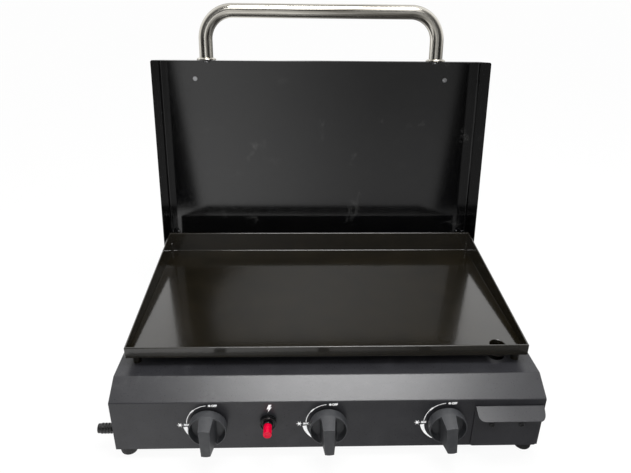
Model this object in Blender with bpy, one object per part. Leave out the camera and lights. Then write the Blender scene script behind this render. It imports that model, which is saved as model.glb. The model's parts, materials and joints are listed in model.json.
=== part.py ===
"""Table-top gas griddle with an enamelled plate, a hinged box lid, three burners and a grease drawer.

Metres, +Z up, +X to the right of someone facing the controls, +Y away from them.
Pieces are laid out from the plate's front face (y = 0) and the table top (z = 0), and the whole model
is then shifted so that its origin lies under the middle of its bounding box.
"""
from math import atan2, cos, pi, radians, sin, sqrt

import bmesh
import bpy
from mathutils import Matrix, Vector

# Griddle plate
PLATE_WIDTH = 0.570
PLATE_DEPTH = 0.330
PLATE_WALL = 0.003
PLATE_FLOOR = 0.006
PLATE_FRONT_RISE = 0.011
PLATE_REAR_RISE = 0.036
PLATE_STAND = 0.0135
DRAIN_DIAMETER = 0.022
DRAIN_FROM_SIDE = 0.0385
DRAIN_FROM_FRONT = 0.019
COLLAR_WALL = 0.003
COLLAR_DROP = 0.006
STUD_DIAMETER = 0.012
STUD_FROM_SIDE = 0.013
STUD_FROM_END = 0.012
PEG_DIAMETER = 0.006
PEG_LENGTH = 0.005

# Sheet-metal body
SHEET = 0.0012
FIT = 0.0003
BODY_MARGIN = 0.0115
DECK_LEDGE = 0.0222
SLOPE_RUN = 0.034
SLOPE_RISE = 0.0183
PANEL_HEIGHT = 0.081
DECK_HOLE_DIAMETER = 0.024
WINDOW_LIP = 0.008
VENT_WIDTH = 0.050
VENT_HEIGHT = 0.008
VENT_PITCH = 0.075
VENT_COUNT = 7
VENT_FROM_DECK = 0.034

# Feet
FOOT_HEIGHT = 0.017
FOOT_TOP_DIAMETER = 0.025
FOOT_BASE_DIAMETER = 0.022
FOOT_FROM_SIDE = 0.013
FOOT_FROM_FRONT = 0.0165
FOOT_FROM_REAR = 0.030

# Lid and hinge
LID_SIDE_GAP = 0.0015
LID_DEPTH = 0.0639
LID_LEAN = radians(7.0)
LID_FRONT_GAP = 0.003
LID_DECK_GAP = 0.0011
LID_TAIL = 0.0257
HINGE_BACKSET = 0.0103
HINGE_RISE = 0.0209
HINGE_BOLT_DIAMETER = 0.006
HINGE_HEAD_DIAMETER = 0.012
HINGE_HEAD = 0.003
EAR_SHEET = 0.003
EAR_GAP = 0.001
EAR_RADIUS = 0.011
EAR_FRONT = 0.007
EAR_LENGTH = 0.036
EAR_FOOT = 0.018
EAR_SHOULDER = radians(40.0)
LID_BOLT_SPAN = 0.461
LID_BOLT_FROM_FRONT = 0.032
LID_BOLT_DIAMETER = 0.005
LID_BOLT_HEAD = 0.009
LID_BOLT_HEAD_HEIGHT = 0.002
HEAD_CHAMFER = 0.0006

# Handle
HANDLE_TUBE = 0.024
HANDLE_SPAN = 0.407
HANDLE_RISE = 0.0825
HANDLE_BEND = 0.048
ROSETTE_DIAMETER = 0.034
ROSETTE_HEIGHT = 0.004
ROSETTE_EDGE = 0.002
HANDLE_BOLT_DIAMETER = 0.006
HANDLE_BOLT_HEAD = 0.012
HANDLE_BOLT_HEAD_HEIGHT = 0.002

# Controls
KNOB_PITCH = 0.163
KNOB_ROW_LEFT = 0.002
KNOB_DROP = 0.0353
KNOB_TURNS = (0.0, radians(-2.0), radians(-6.0))
KNOB_DIAMETER = 0.0512
KNOB_SKIRT = 0.014
KNOB_RIM = 0.0015
KNOB_EDGE = 0.0012
KNOB_DISH = 0.009
KNOB_PROUD = 0.040
KNOB_BACK_GAP = 0.0035
GRIP_WIDTH = 0.0205
GRIP_FACE_WIDTH = 0.0152
GRIP_FACE_FOOT = 0.0124
GRIP_FACE_LENGTH = 0.043
STEM_DIAMETER = 0.007
STEM_IN_KNOB = 0.014
STEM_HOLE_DIAMETER = 0.010
PLUNGER_LENGTH = 0.005
PLUNGER_WALL = 0.002

# Gas train
MANIFOLD_DIAMETER = 0.014
MANIFOLD_WALL = 0.002
MANIFOLD_BACKSET = 0.022
MANIFOLD_DROP = 0.0275
MANIFOLD_END = 0.016
VALVE_DIAMETER = 0.022
VALVE_BACKSET = 0.006
VALVE_LENGTH = 0.030
VALVE_SEAT = 0.004
VALVE_STUB_DIAMETER = 0.010
JET_DIAMETER = 0.008
JET_LENGTH = 0.010
BURNER_DIAMETER = 0.030
BURNER_WALL = 0.0015
BURNER_BACKSET = 0.044
BURNER_FROM_REAR = 0.016
BURNER_SLOT_LENGTH = 0.012
BURNER_SLOT_WIDTH = 0.003
BURNER_SLOT_PITCH = 0.022
BURNER_SLOT_COUNT = 10
BURNER_BOX_FRONT = 0.040
BURNER_BOX_REAR = 0.012
BURNER_BOX_SIDE = 0.023
BURNER_REST_HEIGHT = 0.060
BURNER_REST_FROM_REAR = 0.024
INLET_NECK_DIAMETER = 0.0085
INLET_SHOULDER_DIAMETER = 0.014
INLET_SHOULDER = 0.005
INLET_LENGTH = 0.026
INLET_BORE = 0.004
CAP_DIAMETER = 0.015
CAP_LENGTH = 0.020
CAP_FROM_SIDE = 0.008
CAP_END = 0.003
CAP_RIBS = 4
CAP_RIB_DEPTH = 0.0007
CAP_RIB_LENGTH = 0.0025
CAP_RIB_SLANT = 0.0003

# Igniter
IGNITER_LEFT = 0.084
IGNITER_DROP = 0.0325
BEZEL_DIAMETER = 0.023
BEZEL_PROUD = 0.0075
BEZEL_CHAMFER = 0.0017
BARREL_DIAMETER = 0.018
BARREL_LENGTH = 0.040
BUTTON_DIAMETER = 0.0115
BUTTON_PROUD = 0.027
BUTTON_TRAVEL = 0.005
BUTTON_IN_BARREL = 0.016
BUTTON_CROWN = 0.0022
NUT_DIAMETER = 0.026
NUT_HEIGHT = 0.005
ELECTRODE_DIAMETER = 0.007
ELECTRODE_LENGTH = 0.046
ELECTRODE_LEFT = 0.016
ELECTRODE_RISE = 0.020
ELECTRODE_FRONT = 0.012
LEAD_DIAMETER = 0.004
LEAD_SLACK = 0.040

# Grease drawer
DRAWER_FRONT_WIDTH = 0.094
DRAWER_FRONT_HEIGHT = 0.072
DRAWER_FROM_SIDE = 0.0025
DRAWER_FRONT_GAP = 0.0005
DRAWER_LIP_REACH = 0.021
DRAWER_LIP_DROP = 0.0095
DRAWER_LIP_CORNER = 0.010
DRAWER_LIP_END_CORNER = 0.006
DRAWER_LIP_TAPER = 0.0035
TRAY_WIDTH = 0.078
TRAY_HEIGHT = 0.044
TRAY_DEPTH = 0.086
TRAY_SHEET = 0.001
RAIL_THICKNESS = 0.002
RAIL_SEAT = 0.006
RAIL_HEIGHT = 0.012
DRAWER_SCREW_SPAN = 0.042
DRAWER_SCREW_DROP = 0.034
DRAWER_SCREW_DIAMETER = 0.004
DRAWER_SCREW_HEAD = 0.009
DRAWER_SCREW_HEAD_HEIGHT = 0.002

# Facets of round pieces
ROUND = 24
FINE_ROUND = 16
HEX = 6
BEND_STEPS = 8
TUBE_SIDES = 16
LEAD_STEPS = 14
SHARP_ANGLE = radians(35.0)

# Heights above the table
panel_bottom = FOOT_HEIGHT
panel_top = panel_bottom + PANEL_HEIGHT
deck_top = panel_top + SLOPE_RISE
deck_under = deck_top - SHEET
plate_under = deck_top + PLATE_STAND
cook_top = plate_under + PLATE_FLOOR
base_top = panel_bottom + SHEET
knob_z = panel_top - KNOB_DROP
igniter_z = panel_top - IGNITER_DROP

# Widths and depths
plate_half = PLATE_WIDTH / 2
body_half = plate_half + BODY_MARGIN
inner_half = body_half - SHEET
lid_half = body_half - LID_SIDE_GAP
lid_inner_half = lid_half - SHEET
panel_front = -DECK_LEDGE - SLOPE_RUN
panel_back = panel_front + SHEET
hinge_y = PLATE_DEPTH + HINGE_BACKSET
hinge_z = deck_top + HINGE_RISE

# Lid outline around the hinge: "up" runs along the open lid's panel, "out" towards the front
lid_edge_out = HINGE_RISE - LID_DECK_GAP
lid_panel_out = lid_edge_out - LID_DEPTH
lid_reach = hinge_y + LID_FRONT_GAP
lid_top = lid_reach + SHEET
lid_tail_y = hinge_y - LID_TAIL * sin(LID_LEAN) - lid_panel_out * cos(LID_LEAN)
body_rear = lid_tail_y - FIT
rear_inner = body_rear - SHEET
handle_out = (lid_edge_out + lid_panel_out) / 2

drain_x = plate_half - DRAIN_FROM_SIDE
drain_y = DRAIN_FROM_FRONT
stud_places = [(sx * (plate_half - STUD_FROM_SIDE), y)
               for sx in (-1, 1) for y in (STUD_FROM_END, PLATE_DEPTH - STUD_FROM_END)]
knob_places = [k * KNOB_PITCH - KNOB_ROW_LEFT for k in (-1, 0, 1)]
drawer_x = body_half - DRAWER_FROM_SIDE - DRAWER_FRONT_WIDTH / 2
tray_floor_z = base_top + FIT + RAIL_THICKNESS + FIT
manifold_y = panel_front + MANIFOLD_BACKSET
manifold_z = knob_z - MANIFOLD_DROP
box_front = BURNER_BOX_FRONT
box_rear = PLATE_DEPTH - BURNER_BOX_REAR
box_half = plate_half - BURNER_BOX_SIDE
valve_front = panel_back + VALVE_BACKSET
burner_front = panel_front + BURNER_BACKSET
burner_rear = box_rear - SHEET - BURNER_FROM_REAR

# Extremes of the whole model, which place the origin under its middle
left_most = -body_half - CAP_FROM_SIDE - CAP_LENGTH
right_most = max(body_half, lid_half + FIT + HINGE_HEAD)
front_most = panel_front - KNOB_PROUD
lid_back_y = hinge_y + lid_top * sin(LID_LEAN) - (lid_panel_out - SHEET) * cos(LID_LEAN)
handle_y = hinge_y + (lid_top + HANDLE_RISE) * sin(LID_LEAN) - handle_out * cos(LID_LEAN)
back_most = max(lid_back_y, handle_y + HANDLE_TUBE / 2)
ORIGIN = Vector(((left_most + right_most) / 2, (front_most + back_most) / 2, 0.0))

for old in list(bpy.data.objects):
    bpy.data.objects.remove(old, do_unlink=True)


def material(name, colour, roughness, metallic=0.0):
    """A Principled material with one colour."""
    made = bpy.data.materials.new(name)
    made.use_nodes = True
    shader = made.node_tree.nodes["Principled BSDF"]
    shader.inputs["Base Color"].default_value = (*colour, 1.0)
    shader.inputs["Roughness"].default_value = roughness
    shader.inputs["Metallic"].default_value = metallic
    return made


POWDER_BLACK = material("powder_coat", (0.020, 0.020, 0.022), 0.40)
LID_BLACK = material("lid_paint", (0.014, 0.014, 0.016), 0.32)
ENAMEL = material("enamel", (0.012, 0.010, 0.007), 0.12)
STAINLESS = material("stainless", (0.62, 0.61, 0.59), 0.25, 1.0)
ZINC = material("zinc_steel", (0.55, 0.55, 0.56), 0.35, 1.0)
BLACK_STEEL = material("black_screw", (0.03, 0.03, 0.03), 0.35, 0.6)
BRASS = material("brass", (0.60, 0.43, 0.18), 0.30, 1.0)
ALUMINISED = material("aluminised_steel", (0.50, 0.50, 0.49), 0.45, 1.0)
KNOB_PLASTIC = material("knob_plastic", (0.045, 0.046, 0.048), 0.50)
BEZEL_PLASTIC = material("bezel_plastic", (0.015, 0.015, 0.016), 0.20)
BUTTON_RED = material("button_red", (0.70, 0.01, 0.03), 0.18)
RUBBER = material("rubber", (0.018, 0.018, 0.018), 0.70)
CAP_PLASTIC = material("cap_plastic", (0.016, 0.016, 0.016), 0.40)
CERAMIC = material("ceramic", (0.85, 0.84, 0.80), 0.35)
LEAD_SILICONE = material("lead_silicone", (0.05, 0.05, 0.05), 0.50)


def prism(outline, axis, low, high):
    """A closed solid: an outline in the two other axes (in X, Y, Z order) pushed along one axis."""
    bm = bmesh.new()

    def spot(pair, along):
        place = list(pair)
        place.insert("XYZ".index(axis), along)
        return bm.verts.new(place)

    near = [spot(pair, low) for pair in outline]
    far = [spot(pair, high) for pair in outline]
    bm.faces.new(near)
    bm.faces.new(far[::-1])
    for i in range(len(outline)):
        j = (i + 1) % len(outline)
        bm.faces.new((near[j], near[i], far[i], far[j]))
    bmesh.ops.recalc_face_normals(bm, faces=bm.faces)
    return bm


def block(x, y, z):
    """A box between pairs of low and high limits."""
    return prism([(x[0], y[0]), (x[1], y[0]), (x[1], y[1]), (x[0], y[1])], "Z", z[0], z[1])


def turned(profile, axis, centre, sides=ROUND):
    """A solid of revolution: (radius, along) pairs round an axis through centre."""
    bm = bmesh.new()
    names = "XYZ"
    along = names.index(axis)
    first, second = [i for i in range(3) if i != along]
    rings = []
    for radius, offset in profile:
        place = list(centre)
        place[along] += offset
        if radius == 0.0:
            rings.append([bm.verts.new(place)])
            continue
        ring = []
        for k in range(sides):
            turn = 2 * pi * k / sides
            spot = list(place)
            spot[first] += radius * cos(turn)
            spot[second] += radius * sin(turn)
            ring.append(bm.verts.new(spot))
        rings.append(ring)
    pairs = list(zip(rings, rings[1:] + rings[:1]))
    if profile[0][0] == 0.0:
        pairs.pop()
    for a, b in pairs:
        for k in range(sides):
            n = (k + 1) % sides
            if len(a) == 1:
                bm.faces.new((a[0], b[k], b[n]))
            elif len(b) == 1:
                bm.faces.new((a[k], a[n], b[0]))
            else:
                bm.faces.new((a[k], a[n], b[n], b[k]))
    bmesh.ops.recalc_face_normals(bm, faces=bm.faces)
    return bm


def rod(diameter, axis, centre, low, high, sides=FINE_ROUND):
    """A plain round bar along an axis, from low to high as measured from centre."""
    return turned([(0.0, low), (diameter / 2, low), (diameter / 2, high), (0.0, high)], axis, centre, sides)


def arc(centre, radius, start, end, steps):
    """Points on an arc, from one angle to another."""
    return [(centre[0] + radius * cos(start + (end - start) * k / steps),
             centre[1] + radius * sin(start + (end - start) * k / steps)) for k in range(steps + 1)]


def mesh_object(name, bm, finish, pivot=(0.0, 0.0, 0.0), tilt=(0.0, 0.0, 0.0), local=False):
    """Make the object, with its origin at the pivot; local meshes are already measured from the pivot."""
    mesh = bpy.data.meshes.new(name)
    bmesh.ops.triangulate(bm, faces=[f for f in bm.faces if len(f.verts) > 4])
    bm.to_mesh(mesh)
    bm.free()
    if not local:
        mesh.transform(Matrix.Translation(-Vector(pivot)))
    mesh.materials.append(finish)
    mesh.shade_smooth()
    mesh.set_sharp_from_angle(angle=SHARP_ANGLE)
    thing = bpy.data.objects.new(name, mesh)
    bpy.context.scene.collection.objects.link(thing)
    thing.location = Vector(pivot) - ORIGIN
    thing.rotation_euler = tilt
    return thing


def shape_with(thing, tools, operation):
    """Apply one Boolean for each tool mesh, given in the same frame as the object's mesh."""
    for bm in tools:
        mesh = bpy.data.meshes.new("tool")
        bm.to_mesh(mesh)
        bm.free()
        tool = bpy.data.objects.new("tool", mesh)
        bpy.context.scene.collection.objects.link(tool)
        tool.matrix_world = Matrix.LocRotScale(thing.location, thing.rotation_euler, None)
        change = thing.modifiers.new("shape", "BOOLEAN")
        change.operation = operation
        change.solver = "EXACT"
        change.object = tool
        graph = bpy.context.evaluated_depsgraph_get()
        graph.update()
        made = bpy.data.meshes.new_from_object(thing.evaluated_get(graph))
        thing.modifiers.remove(change)
        thing.data = made
        bpy.data.objects.remove(tool, do_unlink=True)
    thing.data.shade_smooth()
    thing.data.set_sharp_from_angle(angle=SHARP_ANGLE)
    return thing


def cut(thing, *tools):
    return shape_with(thing, tools, "DIFFERENCE")


def join(thing, *tools):
    return shape_with(thing, tools, "UNION")


def shell_profile(inset):
    """The folded shell's side outline from panel foot to deck rear, moved inwards by an inset."""
    bend = atan2(SLOPE_RISE, SLOPE_RUN)
    return [(panel_front + inset, panel_bottom),
            (panel_front + inset, panel_top - inset * (1 - sin(bend)) / cos(bend)),
            (-DECK_LEDGE + inset * (1 - cos(bend)) / sin(bend), deck_top - inset),
            (body_rear, deck_top - inset)]


def make_body():
    """Folded shell, side panels, rear panel and base pan."""
    outline = shell_profile(0.0) + shell_profile(SHEET)[::-1]
    shell = mesh_object("housing_shell", prism(outline, "X", -body_half, body_half), POWDER_BLACK)
    window_half = box_half - WINDOW_LIP
    holes = [block((-window_half, window_half), (box_front + WINDOW_LIP, box_rear - WINDOW_LIP),
                   (deck_under - SHEET, deck_top + SHEET)),
             rod(DECK_HOLE_DIAMETER, "Z", (drain_x, drain_y, deck_top), -2 * SHEET, SHEET)]
    for x, y in stud_places:
        holes.append(rod(PEG_DIAMETER + 2 * FIT, "Z", (x, y, deck_top), -2 * SHEET, SHEET))
    for x in knob_places:
        holes.append(rod(STEM_HOLE_DIAMETER, "Y", (x, panel_front, knob_z), -SHEET, 2 * SHEET))
    holes.append(rod(BARREL_DIAMETER + 2 * FIT, "Y", (-IGNITER_LEFT, panel_front, igniter_z),
                     -SHEET, 2 * SHEET))
    tray_half = TRAY_WIDTH / 2 + FIT
    holes.append(block((drawer_x - tray_half, drawer_x + tray_half), (panel_front - SHEET, panel_back + SHEET),
                       (tray_floor_z - FIT, tray_floor_z + TRAY_HEIGHT + FIT)))
    cut(shell, *holes)

    rim = shell_profile(SHEET + FIT) + [(body_rear, panel_bottom)]
    for name, side in (("side_panel_left", -1), ("side_panel_right", 1)):
        low, high = sorted((side * inner_half, side * body_half))
        panel = mesh_object(name, prism(rim, "X", low, high), POWDER_BLACK)
        if side < 0:
            cut(panel, rod(INLET_NECK_DIAMETER + 2 * FIT, "X", (low, manifold_y, manifold_z),
                           -SHEET, 2 * SHEET))

    rear_half = inner_half - FIT
    rear = mesh_object("rear_panel", block((-rear_half, rear_half), (rear_inner, body_rear),
                                           (panel_bottom, deck_under - 2 * FIT)), POWDER_BLACK)
    vents = []
    for k in range(VENT_COUNT):
        x = (k - (VENT_COUNT - 1) / 2) * VENT_PITCH
        vents.append(block((x - VENT_WIDTH / 2, x + VENT_WIDTH / 2), (rear_inner - SHEET, body_rear + SHEET),
                           (deck_top - VENT_FROM_DECK - VENT_HEIGHT, deck_top - VENT_FROM_DECK)))
    cut(rear, *vents)

    mesh_object("base_pan", block((-rear_half, rear_half), (panel_back + FIT, rear_inner - FIT),
                                  (panel_bottom, base_top)), ALUMINISED)


def make_feet():
    """Four tapered rubber feet under the base pan."""
    tall = FOOT_HEIGHT - FIT
    profile = [(0.0, 0.0), (FOOT_BASE_DIAMETER / 2, 0.0), (FOOT_TOP_DIAMETER / 2, tall), (0.0, tall)]
    ends = {"front": panel_front + FOOT_FROM_FRONT, "rear": body_rear - FOOT_FROM_REAR}
    for end, y in ends.items():
        for side, sx in (("left", -1), ("right", 1)):
            place = (sx * (body_half - FOOT_FROM_SIDE), y, 0.0)
            mesh_object(f"foot_{end}_{side}", turned(profile, "Z", place, FINE_ROUND), RUBBER)


def make_burners():
    """Heat-shield box, burner tubes and the rest that carries their rear ends."""
    floor_z = base_top + FIT
    top_z = deck_under - FIT
    box = mesh_object("burner_box", block((-box_half, box_half), (box_front, box_rear), (floor_z, top_z)),
                      ALUMINISED)
    cut(box, block((-box_half + SHEET, box_half - SHEET), (box_front + SHEET, box_rear - SHEET),
                   (floor_z + SHEET, top_z + SHEET)))
    ports = [rod(BURNER_DIAMETER + 2 * FIT, "Y", (x, box_front, knob_z), -SHEET, 2 * SHEET)
             for x in knob_places]
    ports.append(rod(ELECTRODE_DIAMETER + 2 * FIT, "Y", (-ELECTRODE_LEFT, box_front, knob_z + ELECTRODE_RISE),
                     -SHEET, 2 * SHEET))
    cut(box, *ports)

    length = burner_rear - burner_front
    outer = BURNER_DIAMETER / 2
    inner = outer - BURNER_WALL
    profile = [(0.0, length - BURNER_WALL), (inner, length - BURNER_WALL), (inner, 0.0), (outer, 0.0),
               (outer, length), (0.0, length)]
    for number, x in enumerate(knob_places, 1):
        tube = mesh_object(f"burner_tube_{number}", turned(profile, "Y", (x, burner_front, knob_z), FINE_ROUND),
                           ALUMINISED)
        slots = []
        for k in range(BURNER_SLOT_COUNT):
            y = box_front + SHEET + BURNER_SLOT_PITCH * (k + 1)
            slots.append(block((x - BURNER_SLOT_LENGTH / 2, x + BURNER_SLOT_LENGTH / 2),
                               (y - BURNER_SLOT_WIDTH / 2, y + BURNER_SLOT_WIDTH / 2),
                               (knob_z + inner / 2, knob_z + BURNER_DIAMETER)))
        cut(tube, *slots)

    rest_y = box_rear - SHEET - BURNER_REST_FROM_REAR
    rest_half = box_half - SHEET - FIT
    low = floor_z + SHEET + FIT
    rest = mesh_object("burner_rest", block((-rest_half, rest_half), (rest_y - SHEET, rest_y),
                                            (low, low + BURNER_REST_HEIGHT)), ALUMINISED)
    cut(rest, *[rod(BURNER_DIAMETER + 2 * FIT, "Y", (x, rest_y, knob_z), -2 * SHEET, SHEET)
                for x in knob_places])


def make_gas_train():
    """Manifold, valves with stems and plungers, side inlet and its dust cap."""
    start = -inner_half + FIT
    end = knob_places[-1] + MANIFOLD_END
    outer = MANIFOLD_DIAMETER / 2
    inner = outer - MANIFOLD_WALL
    shoulder_in = start + INLET_SHOULDER
    length = end - shoulder_in - FIT
    bar = rod(MANIFOLD_DIAMETER, "X", (shoulder_in + FIT, manifold_y, manifold_z), 0.0, length)
    manifold = mesh_object("gas_manifold", bar, ZINC)
    cut(manifold, rod(2 * inner, "X", (shoulder_in + FIT, manifold_y, manifold_z),
                      -SHEET, length - MANIFOLD_WALL))

    bore = STEM_DIAMETER + 2 * (PLUNGER_WALL + 2 * FIT)
    stub_low = manifold_z + outer + FIT - knob_z
    chamber = VALVE_LENGTH - VALVE_SEAT
    for number, x in enumerate(knob_places, 1):
        centre = (x, valve_front, knob_z)
        valve = mesh_object(f"gas_valve_{number}", rod(VALVE_DIAMETER, "Y", centre, 0.0, VALVE_LENGTH), BRASS)
        join(valve, rod(VALVE_STUB_DIAMETER, "Z", (x, manifold_y, knob_z), stub_low, 0.0),
             rod(JET_DIAMETER, "Y", centre, chamber, VALVE_LENGTH + JET_LENGTH))
        cut(valve, rod(bore, "Y", centre, -SHEET, chamber))

        pivot = (x, panel_front, knob_z)
        plunger_y = valve_front + FIT
        ring = [(STEM_DIAMETER / 2 + FIT, 0.0), (bore / 2 - FIT, 0.0), (bore / 2 - FIT, PLUNGER_LENGTH),
                (STEM_DIAMETER / 2 + FIT, PLUNGER_LENGTH)]
        mesh_object(f"valve_plunger_{number}", turned(ring, "Y", (x, plunger_y, knob_z), FINE_ROUND), ZINC,
                    pivot)

        stem_front = panel_front - KNOB_BACK_GAP - STEM_IN_KNOB
        stem_rear = plunger_y + PLUNGER_LENGTH + PLUNGER_WALL
        mesh_object(f"valve_stem_{number}",
                    rod(STEM_DIAMETER, "Y", (x, 0.0, knob_z), stem_front, stem_rear, FINE_ROUND), BRASS, pivot)

    side = -body_half
    neck = INLET_NECK_DIAMETER / 2
    hole = INLET_BORE / 2
    tip = side - INLET_LENGTH
    profile = [(hole, tip), (neck, tip), (neck, start), (INLET_SHOULDER_DIAMETER / 2, start),
               (INLET_SHOULDER_DIAMETER / 2, shoulder_in), (hole, shoulder_in)]
    mesh_object("gas_inlet", turned(profile, "X", (0.0, manifold_y, manifold_z), FINE_ROUND), BLACK_STEEL)

    mouth = side - CAP_FROM_SIDE
    outside = CAP_DIAMETER / 2
    socket = neck + FIT
    pitch = (CAP_LENGTH - CAP_END) / CAP_RIBS
    waist = outside - CAP_RIB_DEPTH
    shape = [(0.0, 0.0)]
    for k in range(CAP_RIBS):
        start = -pitch * k
        shape += [(outside, start), (outside, start - CAP_RIB_LENGTH),
                  (waist, start - CAP_RIB_LENGTH - CAP_RIB_SLANT), (waist, start - pitch + CAP_RIB_SLANT)]
    shape += [(waist, -CAP_LENGTH), (0.0, -CAP_LENGTH)]
    floor = -(INLET_LENGTH - CAP_FROM_SIDE) - FIT
    place = (mouth, manifold_y, manifold_z)
    cap = mesh_object("inlet_cap", turned(shape, "X", place, FINE_ROUND), CAP_PLASTIC, place)
    cut(cap, rod(2 * socket, "X", (0.0, 0.0, 0.0), floor, SHEET, FINE_ROUND))


def make_knobs():
    """Knobs: a dished skirt with a tapered grip bar across it and a blind socket for the stem."""
    radius = KNOB_DIAMETER / 2
    rim = radius - KNOB_RIM
    front = KNOB_BACK_GAP + KNOB_SKIRT
    dish = front - KNOB_DISH
    skirt = [(0.0, -KNOB_BACK_GAP), (radius - KNOB_EDGE, -KNOB_BACK_GAP),
             (radius, -KNOB_BACK_GAP - KNOB_EDGE), (radius, -front + KNOB_EDGE), (radius - KNOB_EDGE, -front),
             (rim, -front), (rim - KNOB_RIM, -dish), (0.0, -dish)]
    tip = KNOB_PROUD
    base_half = sqrt((radius - FIT) ** 2 - (GRIP_WIDTH / 2) ** 2)
    base_ring = [(-GRIP_WIDTH / 2, -base_half), (GRIP_WIDTH / 2, -base_half),
                 (GRIP_WIDTH / 2, base_half), (-GRIP_WIDTH / 2, base_half)]
    face_half = GRIP_FACE_LENGTH / 2
    face_ring = [(-GRIP_FACE_FOOT / 2, -face_half), (GRIP_FACE_FOOT / 2, -face_half),
                 (GRIP_FACE_WIDTH / 2, face_half), (-GRIP_FACE_WIDTH / 2, face_half)]
    for number, (x, turn) in enumerate(zip(knob_places, KNOB_TURNS), 1):
        pivot = (x, panel_front, knob_z)
        knob = mesh_object(f"knob_{number}", turned(skirt, "Y", (0.0, 0.0, 0.0)), KNOB_PLASTIC, pivot,
                           (0.0, turn, 0.0), local=True)
        join(knob, frustum(base_ring, -(KNOB_BACK_GAP + dish) / 2, face_ring, -tip))
        cut(knob, rod(STEM_DIAMETER + 2 * FIT, "Y", (0.0, 0.0, 0.0), -KNOB_BACK_GAP - STEM_IN_KNOB - FIT, 0.0))


def frustum(base, base_y, face, face_y):
    """A block that tapers along Y from one four-cornered outline to another."""
    bm = bmesh.new()
    near = [bm.verts.new((x, base_y, z)) for x, z in base]
    far = [bm.verts.new((x, face_y, z)) for x, z in face]
    bm.faces.new(near)
    bm.faces.new(far[::-1])
    for i in range(len(base)):
        j = (i + 1) % len(base)
        bm.faces.new((near[j], near[i], far[i], far[j]))
    bmesh.ops.recalc_face_normals(bm, faces=bm.faces)
    return bm


def make_igniter():
    """Bezel and barrel, nut, push button, spark electrode and the lead between them."""
    place = (-IGNITER_LEFT, panel_front, igniter_z)
    barrel = BARREL_DIAMETER / 2
    well = BUTTON_DIAMETER / 2 + FIT
    depth = BUTTON_IN_BARREL + BUTTON_TRAVEL + FIT
    bezel = BEZEL_DIAMETER / 2
    profile = [(0.0, BARREL_LENGTH), (barrel, BARREL_LENGTH), (barrel, -FIT), (bezel, -FIT),
               (bezel, -BEZEL_PROUD + BEZEL_CHAMFER), (bezel - BEZEL_CHAMFER, -BEZEL_PROUD),
               (well, -BEZEL_PROUD), (well, depth), (0.0, depth)]
    mesh_object("igniter_housing", turned(profile, "Y", place), BEZEL_PLASTIC)

    nut_y = SHEET + FIT
    nut = mesh_object("igniter_nut", rod(NUT_DIAMETER, "Y", place, nut_y, nut_y + NUT_HEIGHT, HEX), ZINC)
    cut(nut, rod(2 * (barrel + FIT), "Y", place, nut_y - SHEET, nut_y + NUT_HEIGHT + SHEET, ROUND))

    radius = BUTTON_DIAMETER / 2
    tip = -BUTTON_PROUD
    shape = [(0.0, BUTTON_IN_BARREL), (radius, BUTTON_IN_BARREL), (radius, tip + BUTTON_CROWN),
             (radius - BUTTON_CROWN * (1 - cos(pi / 4)), tip + BUTTON_CROWN * (1 - sin(pi / 4))),
             (radius - BUTTON_CROWN, tip), (0.0, tip)]
    mesh_object("igniter_button", turned(shape, "Y", place), BUTTON_RED, place)

    spark = (-ELECTRODE_LEFT, box_front - ELECTRODE_FRONT, knob_z + ELECTRODE_RISE)
    mesh_object("spark_electrode", rod(ELECTRODE_DIAMETER, "Y", spark, 0.0, ELECTRODE_LENGTH), CERAMIC)

    start = Vector((place[0], place[1] + BARREL_LENGTH + FIT, place[2]))
    end = Vector((spark[0], spark[1] - FIT, spark[2]))
    slack = Vector((0.0, LEAD_SLACK, 0.0))
    curve = bpy.data.curves.new("igniter_lead", "CURVE")
    curve.dimensions = "3D"
    curve.bevel_depth = LEAD_DIAMETER / 2
    curve.bevel_resolution = 2
    curve.use_fill_caps = True
    line = curve.splines.new("POLY")
    line.points.add(LEAD_STEPS)
    for k in range(LEAD_STEPS + 1):
        t = k / LEAD_STEPS
        spot = (start * (1 - t) ** 3 + (start + slack) * 3 * t * (1 - t) ** 2
                + (end - slack) * 3 * t * t * (1 - t) + end * t ** 3)
        line.points[k].co = (*(spot - ORIGIN), 1.0)
    curve.materials.append(LEAD_SILICONE)
    lead = bpy.data.objects.new("igniter_lead", curve)
    bpy.context.scene.collection.objects.link(lead)


def make_plate():
    """Griddle plate, the collar under its drain hole and the studs that carry it."""
    side = [(0.0, plate_under), (0.0, cook_top + PLATE_FRONT_RISE), (PLATE_DEPTH, cook_top + PLATE_REAR_RISE),
            (PLATE_DEPTH, plate_under)]
    pivot = (0.0, PLATE_DEPTH / 2, plate_under)
    plate = mesh_object("griddle_plate", prism(side, "X", -plate_half, plate_half), ENAMEL, pivot)
    well_half = plate_half - PLATE_WALL
    mid = PLATE_DEPTH / 2
    cut(plate,
        block((-well_half, well_half), (PLATE_WALL - mid, PLATE_DEPTH - PLATE_WALL - mid),
              (PLATE_FLOOR, PLATE_FLOOR + 2 * PLATE_REAR_RISE)),
        rod(DRAIN_DIAMETER, "Z", (drain_x, drain_y - mid, 0.0), -PLATE_FLOOR, 2 * PLATE_FLOOR, ROUND))

    hole = DRAIN_DIAMETER / 2
    top = plate_under - FIT
    ring = [(hole, top), (hole, top - COLLAR_DROP), (hole + COLLAR_WALL, top - COLLAR_DROP),
            (hole + COLLAR_WALL, top)]
    mesh_object("drain_collar", turned(ring, "Z", (drain_x, drain_y, 0.0)), ENAMEL, pivot)

    stud = STUD_DIAMETER / 2
    peg = PEG_DIAMETER / 2
    seat = deck_top + FIT
    tip = deck_under - PEG_LENGTH
    shape = [(0.0, top), (stud, top), (stud, seat), (peg, seat), (peg, tip), (0.0, tip)]
    for number, (x, y) in enumerate(stud_places, 1):
        mesh_object(f"plate_stud_{number}", turned(shape, "Z", (x, y, 0.0), FINE_ROUND), ENAMEL, pivot)


def lid_spot(up, out):
    """A point of the lid's side outline in the lid's own axes, as (y, z)."""
    return (-out, up)


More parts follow.
